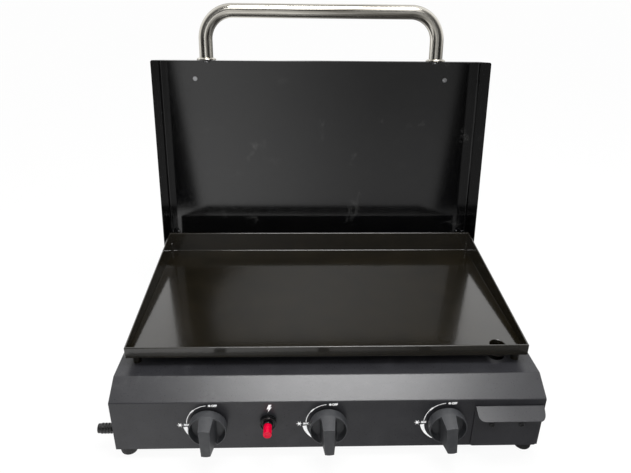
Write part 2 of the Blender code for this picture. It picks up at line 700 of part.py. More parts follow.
def make_lid():
    """Box lid, handle and their fasteners, measured from the hinge and leant back as one."""
    pivot = (0.0, hinge_y, hinge_z)
    tilt = (-LID_LEAN, 0.0, 0.0)
    flange_foot = (-lid_edge_out - lid_panel_out * sin(LID_LEAN)) / cos(LID_LEAN)
    outline = [lid_spot(lid_top, lid_panel_out - SHEET), lid_spot(lid_top, lid_edge_out)]
    outline += [lid_spot(lid_edge_out * sin(turn), lid_edge_out * cos(turn))
                for turn in [-(pi / 2 + LID_LEAN) * k / BEND_STEPS for k in range(BEND_STEPS + 1)]]
    outline += [lid_spot(flange_foot, lid_panel_out), lid_spot(-LID_TAIL, lid_panel_out),
                lid_spot(-LID_TAIL, lid_panel_out - SHEET)]
    shell = mesh_object("lid_shell", prism(outline, "X", -lid_half, lid_half), LID_BLACK, pivot, tilt,
                        local=True)
    cut(shell, block((-lid_inner_half, lid_inner_half), (-2 * LID_DEPTH, -lid_panel_out),
                     (-2 * LID_DEPTH, lid_reach)))
    origin = (0.0, 0.0, 0.0)
    holes = [rod(HINGE_BOLT_DIAMETER + 2 * FIT, "X", origin, -body_half, body_half)]
    bolt_up = lid_reach - LID_BOLT_FROM_FRONT
    for side in (-1, 1):
        holes.append(rod(HANDLE_BOLT_DIAMETER + 2 * FIT, "Z", (side * HANDLE_SPAN / 2, -handle_out, lid_reach),
                         -SHEET, 2 * SHEET))
        holes.append(rod(LID_BOLT_DIAMETER + 2 * FIT, "Y", (side * LID_BOLT_SPAN / 2, -lid_panel_out, bolt_up),
                         -SHEET, 2 * SHEET))
    cut(shell, *holes)

    mesh_object("lid_handle", handle_tube(), STAINLESS, pivot, tilt, local=True)
    leg = HANDLE_TUBE / 2 + FIT
    disc = ROSETTE_DIAMETER / 2
    low = lid_top + FIT
    ring = [(leg, low), (disc, low), (disc, low + ROSETTE_HEIGHT - ROSETTE_EDGE),
            (leg + ROSETTE_EDGE, low + ROSETTE_HEIGHT), (leg, low + ROSETTE_HEIGHT)]
    shank = HANDLE_BOLT_DIAMETER / 2
    head = HANDLE_BOLT_HEAD / 2
    under = lid_reach - FIT
    bolt = [(0.0, low), (shank, low), (shank, under), (head, under), (head, under - HANDLE_BOLT_HEAD_HEIGHT),
            (0.0, under - HANDLE_BOLT_HEAD_HEIGHT)]
    face = -lid_panel_out - FIT
    back = -lid_panel_out + SHEET
    screw = LID_BOLT_DIAMETER / 2
    cap = LID_BOLT_HEAD / 2
    stop = [(0.0, back), (screw, back), (screw, face), (cap, face),
            (cap - HEAD_CHAMFER, face - LID_BOLT_HEAD_HEIGHT), (0.0, face - LID_BOLT_HEAD_HEIGHT)]
    for name, side in (("left", -1), ("right", 1)):
        leg_place = (side * HANDLE_SPAN / 2, -handle_out, 0.0)
        stop_place = (side * LID_BOLT_SPAN / 2, 0.0, bolt_up)
        mesh_object(f"handle_rosette_{name}", turned(ring, "Z", leg_place), STAINLESS, pivot, tilt, local=True)
        mesh_object(f"handle_bolt_{name}", turned(bolt, "Z", leg_place, FINE_ROUND), ZINC, pivot, tilt,
                    local=True)
        mesh_object(f"lid_bolt_{name}", turned(stop, "Y", stop_place, FINE_ROUND), ZINC, pivot, tilt,
                    local=True)


def handle_tube():
    """A round bar along two legs, two bends and a straight grip."""
    half = HANDLE_SPAN / 2
    foot = lid_top + 2 * FIT
    grip = lid_top + HANDLE_RISE
    path = [(-half, foot)]
    path += arc((-half + HANDLE_BEND, grip - HANDLE_BEND), HANDLE_BEND, pi, pi / 2, BEND_STEPS)
    path += arc((half - HANDLE_BEND, grip - HANDLE_BEND), HANDLE_BEND, pi / 2, 0.0, BEND_STEPS)
    path += [(half, foot)]
    bm = bmesh.new()
    rings = []
    for i, (x, up) in enumerate(path):
        before = path[max(i - 1, 0)]
        after = path[min(i + 1, len(path) - 1)]
        along = Vector((after[0] - before[0], 0.0, after[1] - before[1])).normalized()
        across = Vector((0.0, 1.0, 0.0))
        normal = along.cross(across)
        centre = Vector((x, -handle_out, up))
        rings.append([bm.verts.new(centre + HANDLE_TUBE / 2 * (cos(2 * pi * k / TUBE_SIDES) * normal
                                                              + sin(2 * pi * k / TUBE_SIDES) * across))
                      for k in range(TUBE_SIDES)])
    for a, b in zip(rings, rings[1:]):
        for k in range(TUBE_SIDES):
            n = (k + 1) % TUBE_SIDES
            bm.faces.new((a[k], a[n], b[n], b[k]))
    bm.faces.new(rings[0])
    bm.faces.new(rings[-1])
    bmesh.ops.recalc_face_normals(bm, faces=bm.faces)
    return bm


def make_hinge():
    """Ears welded to the deck inside the lid's sides, with the bolts the lid turns on."""
    seat = deck_top + FIT
    ear_outer = lid_inner_half - EAR_GAP
    ear_inner = ear_outer - EAR_SHEET
    front = hinge_y - EAR_FRONT
    rear = front + EAR_LENGTH
    crown = arc((hinge_y, hinge_z), EAR_RADIUS, pi, EAR_SHOULDER, BEND_STEPS)
    outline = [(front, seat)] + crown + [(rear, seat)]
    hole = HINGE_BOLT_DIAMETER + 2 * FIT
    for name, side in (("left", -1), ("right", 1)):
        low, high = sorted((side * ear_inner, side * ear_outer))
        ear = mesh_object(f"hinge_ear_{name}", prism(outline, "X", low, high), POWDER_BLACK)
        low, high = sorted((side * (ear_inner - EAR_FOOT), side * (ear_inner + EAR_SHEET / 2)))
        join(ear, block((low, high), (front, rear), (seat, seat + EAR_SHEET)))
        cut(ear, rod(hole, "X", (0.0, hinge_y, hinge_z),
                     *sorted((side * (ear_inner - EAR_SHEET), side * lid_half))))
        shank = HINGE_BOLT_DIAMETER / 2
        head = HINGE_HEAD_DIAMETER / 2
        outside = lid_half + FIT
        inside = ear_inner - FIT
        profile = [(0.0, outside + HINGE_HEAD), (head, outside + HINGE_HEAD), (head, outside), (shank, outside),
                   (shank, inside), (head, inside), (head, inside - HINGE_HEAD), (0.0, inside - HINGE_HEAD)]
        profile = [(r, side * along) for r, along in profile]
        mesh_object(f"hinge_bolt_{name}", turned(profile, "X", (0.0, hinge_y, hinge_z), FINE_ROUND), ZINC)


def make_drawer():
    """Grease drawer: tray, front with a pull lip, two screws, and the rails it runs on."""
    front_half = DRAWER_FRONT_WIDTH / 2
    face_back = panel_front - DRAWER_FRONT_GAP
    face = face_back - SHEET
    pivot = (drawer_x, face_back, tray_floor_z)
    tray_front = face_back + FIT
    tray_half = TRAY_WIDTH / 2
    tray_top = tray_floor_z + TRAY_HEIGHT
    tray = mesh_object("drawer_tray", block((drawer_x - tray_half, drawer_x + tray_half),
                                            (tray_front, tray_front + TRAY_DEPTH), (tray_floor_z, tray_top)),
                       ALUMINISED, pivot)
    inner_half = tray_half - TRAY_SHEET
    cut(tray, block((-inner_half, inner_half), (FIT + TRAY_SHEET, FIT + TRAY_DEPTH - TRAY_SHEET),
                    (TRAY_SHEET, 2 * TRAY_HEIGHT)))

    low = panel_bottom + FIT
    top = low + DRAWER_FRONT_HEIGHT
    slant = atan2(DRAWER_LIP_DROP, DRAWER_LIP_REACH)
    thick = SHEET / cos(slant)
    profile = [(face_back, low), (face_back, top), (face, top),
               (face - DRAWER_LIP_REACH, top - DRAWER_LIP_DROP),
               (face - DRAWER_LIP_REACH, top - DRAWER_LIP_DROP - thick), (face, top - thick), (face, low)]
    front = mesh_object("drawer_front", prism(profile, "X", drawer_x - front_half, drawer_x + front_half),
                        POWDER_BLACK, pivot)
    corners = []
    for side, radius, taper in ((-1, DRAWER_LIP_CORNER, 0.0), (1, DRAWER_LIP_END_CORNER, DRAWER_LIP_TAPER)):
        x = side * front_half
        y = face - DRAWER_LIP_REACH - face_back
        centre = (x - side * (taper + radius), y + radius)
        edge = arc(centre, radius, -pi / 2, 0.0 if side > 0 else -pi, BEND_STEPS)
        if taper:
            edge = [*edge, (x, -SHEET)]
        spare = SHEET
        corner = [(centre[0], y - spare), *edge, (x + side * spare, edge[-1][1]), (x + side * spare, y - spare)]
        corners.append(prism(corner, "Z", DRAWER_FRONT_HEIGHT / 2 - pivot[2], 2 * DRAWER_FRONT_HEIGHT))
    cut(front, *corners)
    screw_z = top - DRAWER_SCREW_DROP
    spots = [(drawer_x + side * DRAWER_SCREW_SPAN / 2, screw_z) for side in (-1, 1)]
    hole = DRAWER_SCREW_DIAMETER + 2 * FIT
    cut(front, *[rod(hole, "Y", (x - pivot[0], 0.0, z - pivot[2]), -2 * SHEET, SHEET) for x, z in spots])
    cut(tray, *[rod(hole, "Y", (x - pivot[0], 0.0, z - pivot[2]), 0.0, 3 * TRAY_SHEET) for x, z in spots])
    head = DRAWER_SCREW_HEAD / 2
    shank = DRAWER_SCREW_DIAMETER / 2
    seat = face - FIT
    end = tray_front + 2 * TRAY_SHEET
    shape = [(0.0, seat - DRAWER_SCREW_HEAD_HEIGHT), (head - HEAD_CHAMFER, seat - DRAWER_SCREW_HEAD_HEIGHT),
             (head, seat), (shank, seat), (shank, end), (0.0, end)]
    for name, (x, z) in zip(("left", "right"), spots):
        mesh_object(f"drawer_screw_{name}", turned(shape, "Y", (x, 0.0, z), FINE_ROUND), BLACK_STEEL, pivot)

    rail_low = base_top + FIT
    seat_z = rail_low + RAIL_THICKNESS
    rear = tray_front + TRAY_DEPTH
    for name, side in (("left", -1), ("right", 1)):
        wall = drawer_x + side * (tray_half + FIT)
        shape = [(wall - side * RAIL_SEAT, rail_low), (wall + side * RAIL_THICKNESS, rail_low),
                 (wall + side * RAIL_THICKNESS, rail_low + RAIL_HEIGHT), (wall, rail_low + RAIL_HEIGHT),
                 (wall, seat_z), (wall - side * RAIL_SEAT, seat_z)]
        mesh_object(f"drawer_rail_{name}", prism(shape, "Y", panel_back + FIT, rear), ZINC)


make_body()
make_feet()
make_burners()
make_gas_train()
make_knobs()
make_igniter()
make_plate()
make_lid()
make_hinge()
make_drawer()
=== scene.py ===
# %% [markdown]
# # A table-top griddle, dressed for its photograph
# The frame already holds every piece of the griddle at its real size: body, plate, lid, knobs, drawer and
# the gas train inside. Here each piece that shows gets the surface of the real one: folds with a bend
# radius, moulded knobs, a brushed handle, printed legends. The imported box is kept.

# %% Load the frame
import json
from math import acos, atan2, cos, pi, radians, sin, sqrt

import bmesh
import bpy
from mathutils import Matrix, Vector


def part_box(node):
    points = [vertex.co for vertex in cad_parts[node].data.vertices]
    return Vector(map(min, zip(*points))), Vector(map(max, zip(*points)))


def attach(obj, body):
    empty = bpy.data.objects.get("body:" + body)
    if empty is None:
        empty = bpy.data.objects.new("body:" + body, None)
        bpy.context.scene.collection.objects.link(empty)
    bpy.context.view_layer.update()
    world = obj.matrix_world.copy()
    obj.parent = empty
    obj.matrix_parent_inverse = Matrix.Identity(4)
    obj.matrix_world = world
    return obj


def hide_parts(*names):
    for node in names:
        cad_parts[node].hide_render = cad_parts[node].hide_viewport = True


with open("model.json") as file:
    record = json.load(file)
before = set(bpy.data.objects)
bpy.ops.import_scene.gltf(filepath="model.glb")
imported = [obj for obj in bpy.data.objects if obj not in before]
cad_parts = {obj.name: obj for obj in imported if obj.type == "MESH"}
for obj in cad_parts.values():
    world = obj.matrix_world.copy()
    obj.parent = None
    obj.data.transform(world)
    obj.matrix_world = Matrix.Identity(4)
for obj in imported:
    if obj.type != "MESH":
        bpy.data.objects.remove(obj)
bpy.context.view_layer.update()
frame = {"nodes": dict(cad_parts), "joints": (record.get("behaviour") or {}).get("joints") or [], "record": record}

MM = 0.001


# %% [markdown]
# ## Places worked out from the frame
# The plate's front edge and cooking surface are what the camera was fitted to, and each joint's position
# gives the centre of what turns on it. Read from the frame, they keep every piece seated if a size changes.

# %% Read the main places
JOINT = {joint["name"]: joint for joint in frame["joints"]}
SIDES = ("left", "right")
SHEET = 1.2 * MM
SEAT = 0.3 * MM
PLATE_FLOOR = 6.0 * MM

plate_low, plate_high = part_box("griddle_plate")
shell_low, shell_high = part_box("housing_shell")
middle_x = (plate_low.x + plate_high.x) / 2
cook_z = plate_low.z + PLATE_FLOOR
deck_z = shell_high.z
panel_y = shell_low.y
hinge = Vector(JOINT["lid_hinge"]["pos_m"])
print("cooking surface at", round(cook_z / MM, 1), "mm, panel face at", round(panel_y / MM, 1), "mm")


# %% [markdown]
# ## Camera
# The picture's straight edges (plate, lid, panel) fix a plain camera: where it stands from the plate's front
# edge, its heading, its dip and a slight roll. A lens with no shift then shows the object as it was seen.

# %% Place the camera
FOCAL_PIXELS = 576.3
PICTURE_WIDTH = 631
SENSOR = 36.0
EYE = Vector((-43.2, -665.4, 492.8)) * MM
HEADING = 0.0342
DIP = 0.4371
ROLL = -0.0126


def stand(name, data):
    """A new object in the scene, made from a camera, a mesh, a font or a lamp."""
    thing = bpy.data.objects.new(name, data)
    bpy.context.scene.collection.objects.link(thing)
    return thing


forward = Vector((sin(HEADING) * cos(DIP), cos(HEADING) * cos(DIP), -sin(DIP)))
level = Vector((cos(HEADING), -sin(HEADING), 0.0))
down = forward.cross(level)
right = cos(ROLL) * level + sin(ROLL) * down
below = cos(ROLL) * down - sin(ROLL) * level

lens = bpy.data.cameras.new("picture_camera")
lens.sensor_width = SENSOR
lens.lens = FOCAL_PIXELS / PICTURE_WIDTH * SENSOR
lens.clip_start = 10 * MM
camera = stand("picture_camera", lens)
camera.matrix_world = Matrix.Translation(Vector((middle_x, plate_low.y, cook_z)) + EYE) @ Matrix(
    (right, -below, -forward)).transposed().to_4x4()
bpy.context.scene.camera = camera
print("camera at", [round(v / MM) for v in camera.location], "mm, lens", round(lens.lens, 1), "mm")


# %% [markdown]
# ## Colour and nodes
# Colours are written as the sRGB hex of a paint chart, and shaders want linear light, so one function turns
# one into the other. A second one adds a shader node with its settings and links in one call.

# %% Colour and node helpers
def linear(text):
    """sRGB hex to a linear colour with alpha, by the numbers of the sRGB standard."""
    parts = [int(text[k:k + 2], 16) / 255 for k in (1, 3, 5)]
    return (*[p / 12.92 if p <= 0.04045 else ((p + 0.055) / 1.055) ** 2.4 for p in parts], 1.0)


def add(tree, kind, inputs=None, **settings):
    """Add a shader node; an input is a plain value, an output socket or a node, for its first output."""
    node = tree.nodes.new("ShaderNode" + kind)
    for key, value in settings.items():
        setattr(node, key, value)
    for key, value in (inputs or {}).items():
        if isinstance(value, bpy.types.Node):
            value = value.outputs[0]
        if isinstance(value, bpy.types.NodeSocket):
            tree.links.new(value, node.inputs[key])
        else:
            node.inputs[key].default_value = value
    return node


print("half grey #808080 sends back", round(linear("#808080")[0], 2), "of the light")


# %% [markdown]
# ## One recipe for a finish
# No real surface is one flat colour. A picture could be laid on it, but a pattern of nodes stays sharp from
# close by: two near shades in soft clouds, a fine grain that moves both gloss and relief, and a few pale rub
# marks, all in real millimetres. One function holds this recipe, so each finish below is a line or two.

# %% The recipe
# Noise between these two values is spread over a pattern's whole range
CLOUD_SPAN = {"From Min": 0.33, "From Max": 0.67}
GRAIN_SPAN = {"From Min": 0.30, "From Max": 0.70}
RUB_SPAN = {"From Min": 0.60, "From Max": 0.74}
RUB_SIZE = 42 * MM
RUB_PALE = "#9a9a98"
RELIEF_SHARE = 0.6


def surface(name, dark, light, cloud_mm, rough, grain_mm, relief_mm, stretch=(1, 1, 1), metallic=0.0,
            coat=0.0, coat_rough=0.05, specular=0.5, lay=None, rubbed=0.0):
    """A finish with clouds, grain and rub marks.

    The pattern is laid in the object's own metres, or along a mesh attribute that is named as its lay.
    """
    made = bpy.data.materials.new(name)
    made.use_nodes = True
    tree = made.node_tree
    shader = tree.nodes["Principled BSDF"]
    plain = {"Metallic": metallic, "Coat Weight": coat, "Coat Roughness": coat_rough,
             "Specular IOR Level": specular}
    for socket, value in plain.items():
        shader.inputs[socket].default_value = value
    if lay:
        spot = add(tree, "Attribute", attribute_name=lay).outputs["Vector"]
    else:
        spot = add(tree, "TexCoord").outputs["Object"]
    laid = add(tree, "Mapping", {"Vector": spot, "Scale": stretch}).outputs["Vector"]

    cloud = add(tree, "TexNoise", {"Vector": laid, "Scale": 1 / (cloud_mm * MM), "Detail": 4.0,
                                   "Roughness": 0.6})
    drift = add(tree, "MapRange", {"Value": cloud, **CLOUD_SPAN})
    # A Mix of colours has its factor at socket 0, its two colours at 6 and 7, and its result at 2
    blend = add(tree, "Mix", {0: drift, 6: linear(dark), 7: linear(light)}, data_type="RGBA").outputs[2]
    rub = add(tree, "TexNoise", {"Vector": laid, "Scale": 1 / RUB_SIZE, "Detail": 7.0, "Roughness": 0.72,
                                 "Distortion": 0.6})
    worn = add(tree, "MapRange", {"Value": rub, **RUB_SPAN, "To Max": rubbed})
    colour = add(tree, "Mix", {0: worn, 6: blend, 7: linear(RUB_PALE)}, data_type="RGBA").outputs[2]
    tree.links.new(colour, shader.inputs["Base Color"])

    grain = add(tree, "TexNoise", {"Vector": laid, "Scale": 1 / (grain_mm * MM), "Detail": 2.0})
    gloss = add(tree, "MapRange", {"Value": grain, **GRAIN_SPAN, "To Min": rough[0], "To Max": rough[1]})
    tree.links.new(gloss.outputs["Result"], shader.inputs["Roughness"])
    relief = add(tree, "Bump", {"Height": grain, "Strength": RELIEF_SHARE, "Distance": relief_mm * MM})
    for socket in ("Normal", "Coat Normal"):
        tree.links.new(relief.outputs["Normal"], shader.inputs[socket])
    return made


print("rub marks lie about", round(RUB_SIZE / MM), "mm apart")


# %% [markdown]
# ## Finishes
# Each finish starts from what the real one is. Powder coat is a baked film with a fine orange peel, so it
# glows softly where it faces a lamp. Stoving paint on the lid is smoother and mirrors the room as a soft
# grey. Fired enamel on the plate is glass: black-brown and sharp. Metals tint what they mirror.

# %% Make the finishes, one for each slot of the record
FINISH = {
    # Baked powder on steel: satin black, its orange peel about 1.5 mm across, seen as a soft broken glow
    "powder_coat": surface("powder_coat_baked", "#232326", "#2a2a2d", 30, (0.27, 0.35), 1.5, 0.030,
                           rubbed=0.06),
    # Sprayed stoving paint: nearly no colour of its own, so the room shows in it as a soft-edged grey, and
    # every rub shows as a faint pale smear
    "lid_paint": surface("stoving_paint_sprayed", "#050506", "#090909", 60, (0.07, 0.10), 6.0, 0.004,
                         specular=0.75, rubbed=0.09),
    # Fired glass enamel: deep black with a brown cast under a clear skin. Its pebble is drawn at 3 mm,
    # coarser than the real one, so that it shows: the edges of what the glass mirrors look broken
    "enamel": surface("glass_enamel_fired", "#0f0c05", "#17130a", 45, (0.14, 0.24), 3.0, 0.090, coat=1.0,
                      coat_rough=0.07),
    # Stainless tube brushed along its length: long fine streaks, bright enough to mirror the room in bands
    "stainless": surface("stainless_tube_brushed", "#6a655b", "#f8f4ea", 5.0, (0.16, 0.26), 0.9, 0.010,
                         stretch=(1, 0.02, 1), metallic=1.0, lay="brushing"),
    # Zinc plate over cut steel: pale grey with a faint crystalline cloud
    "zinc_steel": surface("zinc_plate_bright", "#c4c5c8", "#f0f0f1", 3, (0.26, 0.38), 0.8, 0.010,
                          metallic=1.0),
    # Steel blackened in an oxide bath: dark, slightly shiny on the worn crown
    "black_screw": surface("black_oxide_steel", "#1c1c1d", "#2b2b2c", 1.5, (0.30, 0.42), 0.5, 0.010),
    # Turned brass: warm yellow with fine tool marks
    "brass": surface("brass_turned", "#a17c3c", "#c39b55", 2, (0.22, 0.36), 0.5, 0.012, metallic=1.0),
    # Hot-dipped aluminised sheet: dull silver with a spangle of about 4 mm
    "aluminised_steel": surface("aluminised_sheet_dipped", "#8d8d8b", "#adadaa", 4, (0.38, 0.52), 2.5, 0.015,
                                metallic=1.0),
    # Phenolic moulding: charcoal, with a spark-eroded texture of about 0.6 mm that scatters the highlight
    "knob_plastic": surface("phenolic_moulded_matt", "#303134", "#38393b", 6, (0.40, 0.50), 0.6, 0.030),
    # Gloss ABS: black, from a polished mould, so it shows small sharp highlights
    "bezel_plastic": surface("abs_moulded_gloss", "#0b0b0c", "#101011", 8, (0.08, 0.14), 3.0, 0.004,
                             coat=0.3),
    # Red ABS: saturated and wet-looking
    "button_red": surface("abs_moulded_red", "#be0029", "#d00535", 5, (0.14, 0.20), 3.0, 0.004, specular=0.3),
    # Moulded rubber: very dark, matt, faintly dusty
    "rubber": surface("rubber_moulded", "#161616", "#202020", 5, (0.62, 0.78), 0.7, 0.030),
    # Soft polythene cap: black with a waxy sheen
    "cap_plastic": surface("polythene_moulded", "#151515", "#1f1f1f", 4, (0.34, 0.46), 0.8, 0.020),
    # Glazed alumina: off-white with a soft shine
    "ceramic": surface("alumina_glazed", "#e4e1d8", "#efede6", 6, (0.18, 0.28), 2.0, 0.010),
    # Silicone sleeve: dark and dry
    "lead_silicone": surface("silicone_sleeve", "#232323", "#2e2e2e", 3, (0.50, 0.62), 0.6, 0.015),
}
# Screen ink: an opaque white film a tenth of a millimetre thick, flat and without shine
INK = surface("screen_ink_white", "#f2f3f3", "#fdfdfd", 3, (0.45, 0.55), 0.4, 0.010)

for part in frame["record"]["subparts"]:
    skin = frame["nodes"][part["node"]].data.materials
    skin.clear()
    skin.append(FINISH[part["material_slot"]])


# %% [markdown]
# ## Solids from outlines
# Folded sheet and cut blocks come from two moves: round off an outline's corners, and push it along an axis.
# They could be boxes with bevels, but an outline says where each fold is.

# %% Outline helpers
CORNER_LIMIT = 0.49


def soften(points, radius, steps=5, closed=False):
    """Round an outline's corners with short curves that start a radius away from each corner."""
    made = []
    count = len(points)
    for i, point in enumerate(points):
        corner = Vector(point)
        if not closed and i in (0, count - 1):
            made.append(tuple(corner))
            continue
        before = Vector(points[i - 1]) - corner
        after = Vector(points[(i + 1) % count]) - corner
        start = corner + before.normalized() * min(radius, before.length * CORNER_LIMIT)
        end = corner + after.normalized() * min(radius, after.length * CORNER_LIMIT)
        for k in range(steps + 1):
            t = k / steps
            made.append(tuple(start * (1 - t) ** 2 + corner * 2 * t * (1 - t) + end * t * t))
    return made


def outward(bm):
    """The solid with all its faces turned outwards."""
    bmesh.ops.recalc_face_normals(bm, faces=bm.faces)
    return bm


def push(outline, axis, low, high):
    """A closed solid: an outline in the two other axes (in X, Y, Z order) pushed along one axis."""
    bm = bmesh.new()
    index = "XYZ".index(axis)
    ends = []
    for along in (low, high):
        ends.append([bm.verts.new([*pair[:index], along, *pair[index:]]) for pair in outline])
    near, far = ends
    bm.faces.new(near)
    bm.faces.new(far[::-1])
    for i in range(len(outline)):
        j = (i + 1) % len(outline)
        bm.faces.new((near[j], near[i], far[i], far[j]))
    return outward(bm)


def block(x, y, z):
    """A box between pairs of limits."""
    return push([(x[0], y[0]), (x[1], y[0]), (x[1], y[1]), (x[0], y[1])], "Z", z[0], z[1])


print("a softened corner has", len(soften([(0, 0), (1, 0), (1, 1)], 0.1)) - 2, "points")


# %% [markdown]
# ## Turned and lofted solids
# Nuts, feet, bezel and button are round, so their outline is spun round an axis, as on a lathe. A rod made
# that way is also the drill for holes. A tube or a grip is skinned over a row of slices.

# %% Turned and lofted helpers
# Sides of a round thing: a nut, a bead, a peg's hole, a rod, a small turning, a large one and a knob
HEXAGON = 6
BEAD_SIDES, PEG_SIDES, ROD_SIDES, FINE_SIDES, LARGE_SIDES, KNOB_SIDES = 20, 24, 32, 48, 64, 96


def spin(profile, axis, centre, sides=LARGE_SIDES):
    """A turned solid: (radius, along) pairs from one end of the axis round the outside to the other."""
    bm = bmesh.new()
    along = "XYZ".index(axis)
    first, second = [i for i in range(3) if i != along]
    rings = []
    for radius, offset in profile:
        ring = []
        for k in range(sides if radius > 0 else 1):
            spot = list(centre)
            spot[along] += offset
            spot[first] += radius * cos(2 * pi * k / sides)
            spot[second] += radius * sin(2 * pi * k / sides)
            ring.append(bm.verts.new(spot))
        rings.append(ring)
    loops = list(zip(rings, rings[1:] + rings[:1]))
    if profile[0][0] == 0:
        loops.pop()
    for a, b in loops:
        for k in range(sides):
            n = (k + 1) % sides
            corners = [a[k % len(a)], a[n % len(a)], b[n % len(b)], b[k % len(b)]]
            bm.faces.new(list(dict.fromkeys(corners)))
    return outward(bm)


def rod(radius, axis, centre, low, high, sides=ROD_SIDES):
    """A plain rod along an axis, between two offsets from its centre: the tool that drills a hole."""
    return spin([(0, low), (radius, low), (radius, high), (0, high)], axis, centre, sides)


def loft(rings):
    """A closed solid through rings of equally many points."""
    bm = bmesh.new()
    rows = [[bm.verts.new(point) for point in ring] for ring in rings]
    for a, b in zip(rows, rows[1:]):
        for k in range(len(a)):
            n = (k + 1) % len(a)
            bm.faces.new((a[k], a[n], b[n], b[k]))
    bm.faces.new(rows[0])
    bm.faces.new(rows[-1])
    return outward(bm)


print("round things have", HEXAGON, "to", KNOB_SIDES, "sides")


# %% [markdown]
# ## Cutting, joining and placing
# Holes could be modelled face by face, but a Boolean between two closed solids does what the punch does, and
# follows when a size changes. A piece is then placed: it gets its finish and the body that it moves with, and
# the frame's nodes that it stands for are hidden.

# %% Cutting and placing helpers
def as_mesh(name, bm):
    """A mesh from a working mesh, which is let go."""
    mesh = bpy.data.meshes.new(name)
    bm.to_mesh(mesh)
    bm.free()
    return mesh


def shaped(bm, operation, *tools):
    """The solid after one Boolean for each tool."""
    for tool in tools:
        things = [stand("work", as_mesh("work", bm)), stand("tool", as_mesh("tool", tool))]
        change = things[0].modifiers.new("shape", "BOOLEAN")
        change.operation = operation
        change.object = things[1]
        graph = bpy.context.evaluated_depsgraph_get()
        bm = bmesh.new()
        bm.from_object(things[0], graph)
        for thing in things:
            bpy.data.objects.remove(thing, do_unlink=True)
    return bm


def gather(*solids):
    """Several solids as one mesh."""
    whole = bmesh.new()
    for solid in solids:
        mesh = as_mesh("solid", solid)
        whole.from_mesh(mesh)
        bpy.data.meshes.remove(mesh)
    return whole


def place(name, bm, slot, body, nodes=(), ink=None, sharp=32.0, sheet_metal=False):
    """Make the piece, give it its finish and its body, and hide the nodes that it stands for.

    On sheet metal each flat keeps its own true normal, so that only the folds between the flats look round.
    """
    mesh = as_mesh(name, bm)
    mesh.shade_smooth()
    mesh.set_sharp_from_angle(angle=radians(sharp))
    mesh.materials.append(ink or FINISH[slot])
    piece = stand(name, mesh)
    if sheet_metal:
        piece.modifiers.new("true_flats", "WEIGHTED_NORMAL").keep_sharp = True
    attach(piece, body)
    if nodes:
        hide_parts(*nodes)
    print(name, len(mesh.polygons), "faces on", body)
    return piece


# %% [markdown]
# ## Folded shell
# Deck, slope and control panel are one steel sheet with two folds. Flat slabs could stand for them, but each
# real fold has a bend radius, which catches the light as a thin bright line. So the sheet's side outline is
# softened at the folds and pushed across.

# %% The sheet with its bend radii
BEND = 1.4 * MM
SLOPE_RUN = 34.0 * MM
SLOPE_RISE = 18.3 * MM
panel_top = deck_z - SLOPE_RISE
slope = atan2(SLOPE_RISE, SLOPE_RUN)


def fold_line(inset, radius):
    """The sheet's side outline, moved in by an inset."""
    sharp = [(panel_y + inset, shell_low.z),
             (panel_y + inset, panel_top - inset * (1 - sin(slope)) / cos(slope)),
             (panel_y + SLOPE_RUN + inset * (1 - cos(slope)) / sin(slope), deck_z - inset),
             (shell_high.y, deck_z - inset)]
    return soften(sharp, radius)


sheet = push(fold_line(0, BEND) + fold_line(SHEET, BEND - SHEET)[::-1], "X", shell_low.x, shell_high.x)
print("the facet slopes by", round(slope / pi * 180), "degrees")


# %% [markdown]
# ## Holes in the shell
# The deck is open over the burners and under the drain, with four small holes for the plate's pegs. The
# panel is cut for drawer, valve stems and igniter. Each hole is a little wider than what passes through it.

# %% Cut the shell
CUT = 2 * SHEET
WINDOW_LIP = 8 * MM
DECK_HOLE = 24 * MM
PEG_HOLE = 6.6 * MM
STEM_HOLE = 10 * MM
BARREL_HOLE = 18.6 * MM


def centred(low, high, axis, place_along):
    """The middle between a box's two corners, moved to a place along one axis."""
    spot = (low + high) / 2
    spot["XYZ".index(axis)] = place_along
    return spot


tray_low, tray_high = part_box("drawer_tray")
box_low, box_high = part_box("burner_box")
drain = centred(*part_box("drain_collar"), "Z", deck_z)
bezel_low, bezel_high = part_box("igniter_housing")
igniter = centred(bezel_low, bezel_high, "Y", panel_y)
knob_spots = [Vector(JOINT[f"knob_{number}_turn"]["pos_m"]) for number in (1, 2, 3)]
holes = [
    block((box_low.x + WINDOW_LIP, box_high.x - WINDOW_LIP),
          (box_low.y + WINDOW_LIP, box_high.y - WINDOW_LIP), (deck_z - CUT, deck_z + CUT)),
    rod(DECK_HOLE / 2, "Z", drain, -CUT, CUT, FINE_SIDES),
    block((tray_low.x - SEAT, tray_high.x + SEAT), (panel_y - CUT, panel_y + CUT),
          (tray_low.z - SEAT, tray_high.z + SEAT)),
]
for number in (1, 2, 3, 4):
    peg = centred(*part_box(f"plate_stud_{number}"), "Z", deck_z)
    holes.append(rod(PEG_HOLE / 2, "Z", peg, -CUT, CUT, PEG_SIDES))
for spot, width in [(spot, STEM_HOLE) for spot in knob_spots] + [(igniter, BARREL_HOLE)]:
    holes.append(rod(width / 2, "Y", (spot.x, panel_y, spot.z), -CUT, CUT))
place("folded_shell", shaped(sheet, "DIFFERENCE", *holes), "powder_coat", "base", ["housing_shell"],
      sheet_metal=True)


# %% [markdown]
# ## Lid
# The lid is a shallow box of the same sheet: a panel with a flange on three sides, folded with a small
# radius and welded at the corners. It leans back, and a box is simplest upright, so it is modelled in its
# own upright axes and leaned back at the end.

# %% The lid's own axes and side outline
LID_LEAN = radians(7.0)
ARC_STEPS = 16
lean = Matrix.Translation(hinge) @ Matrix.Rotation(-LID_LEAN, 4, "X")
upright = lean.inverted()


def lid_limits(node):
    """A lid node's limits in the lid's own axes: Z up along the panel, -Y out of it."""
    spots = [upright @ v.co for v in frame["nodes"][node].data.vertices]
    return (Vector([min(s[k] for s in spots) for k in range(3)]),
            Vector([max(s[k] for s in spots) for k in range(3)]))


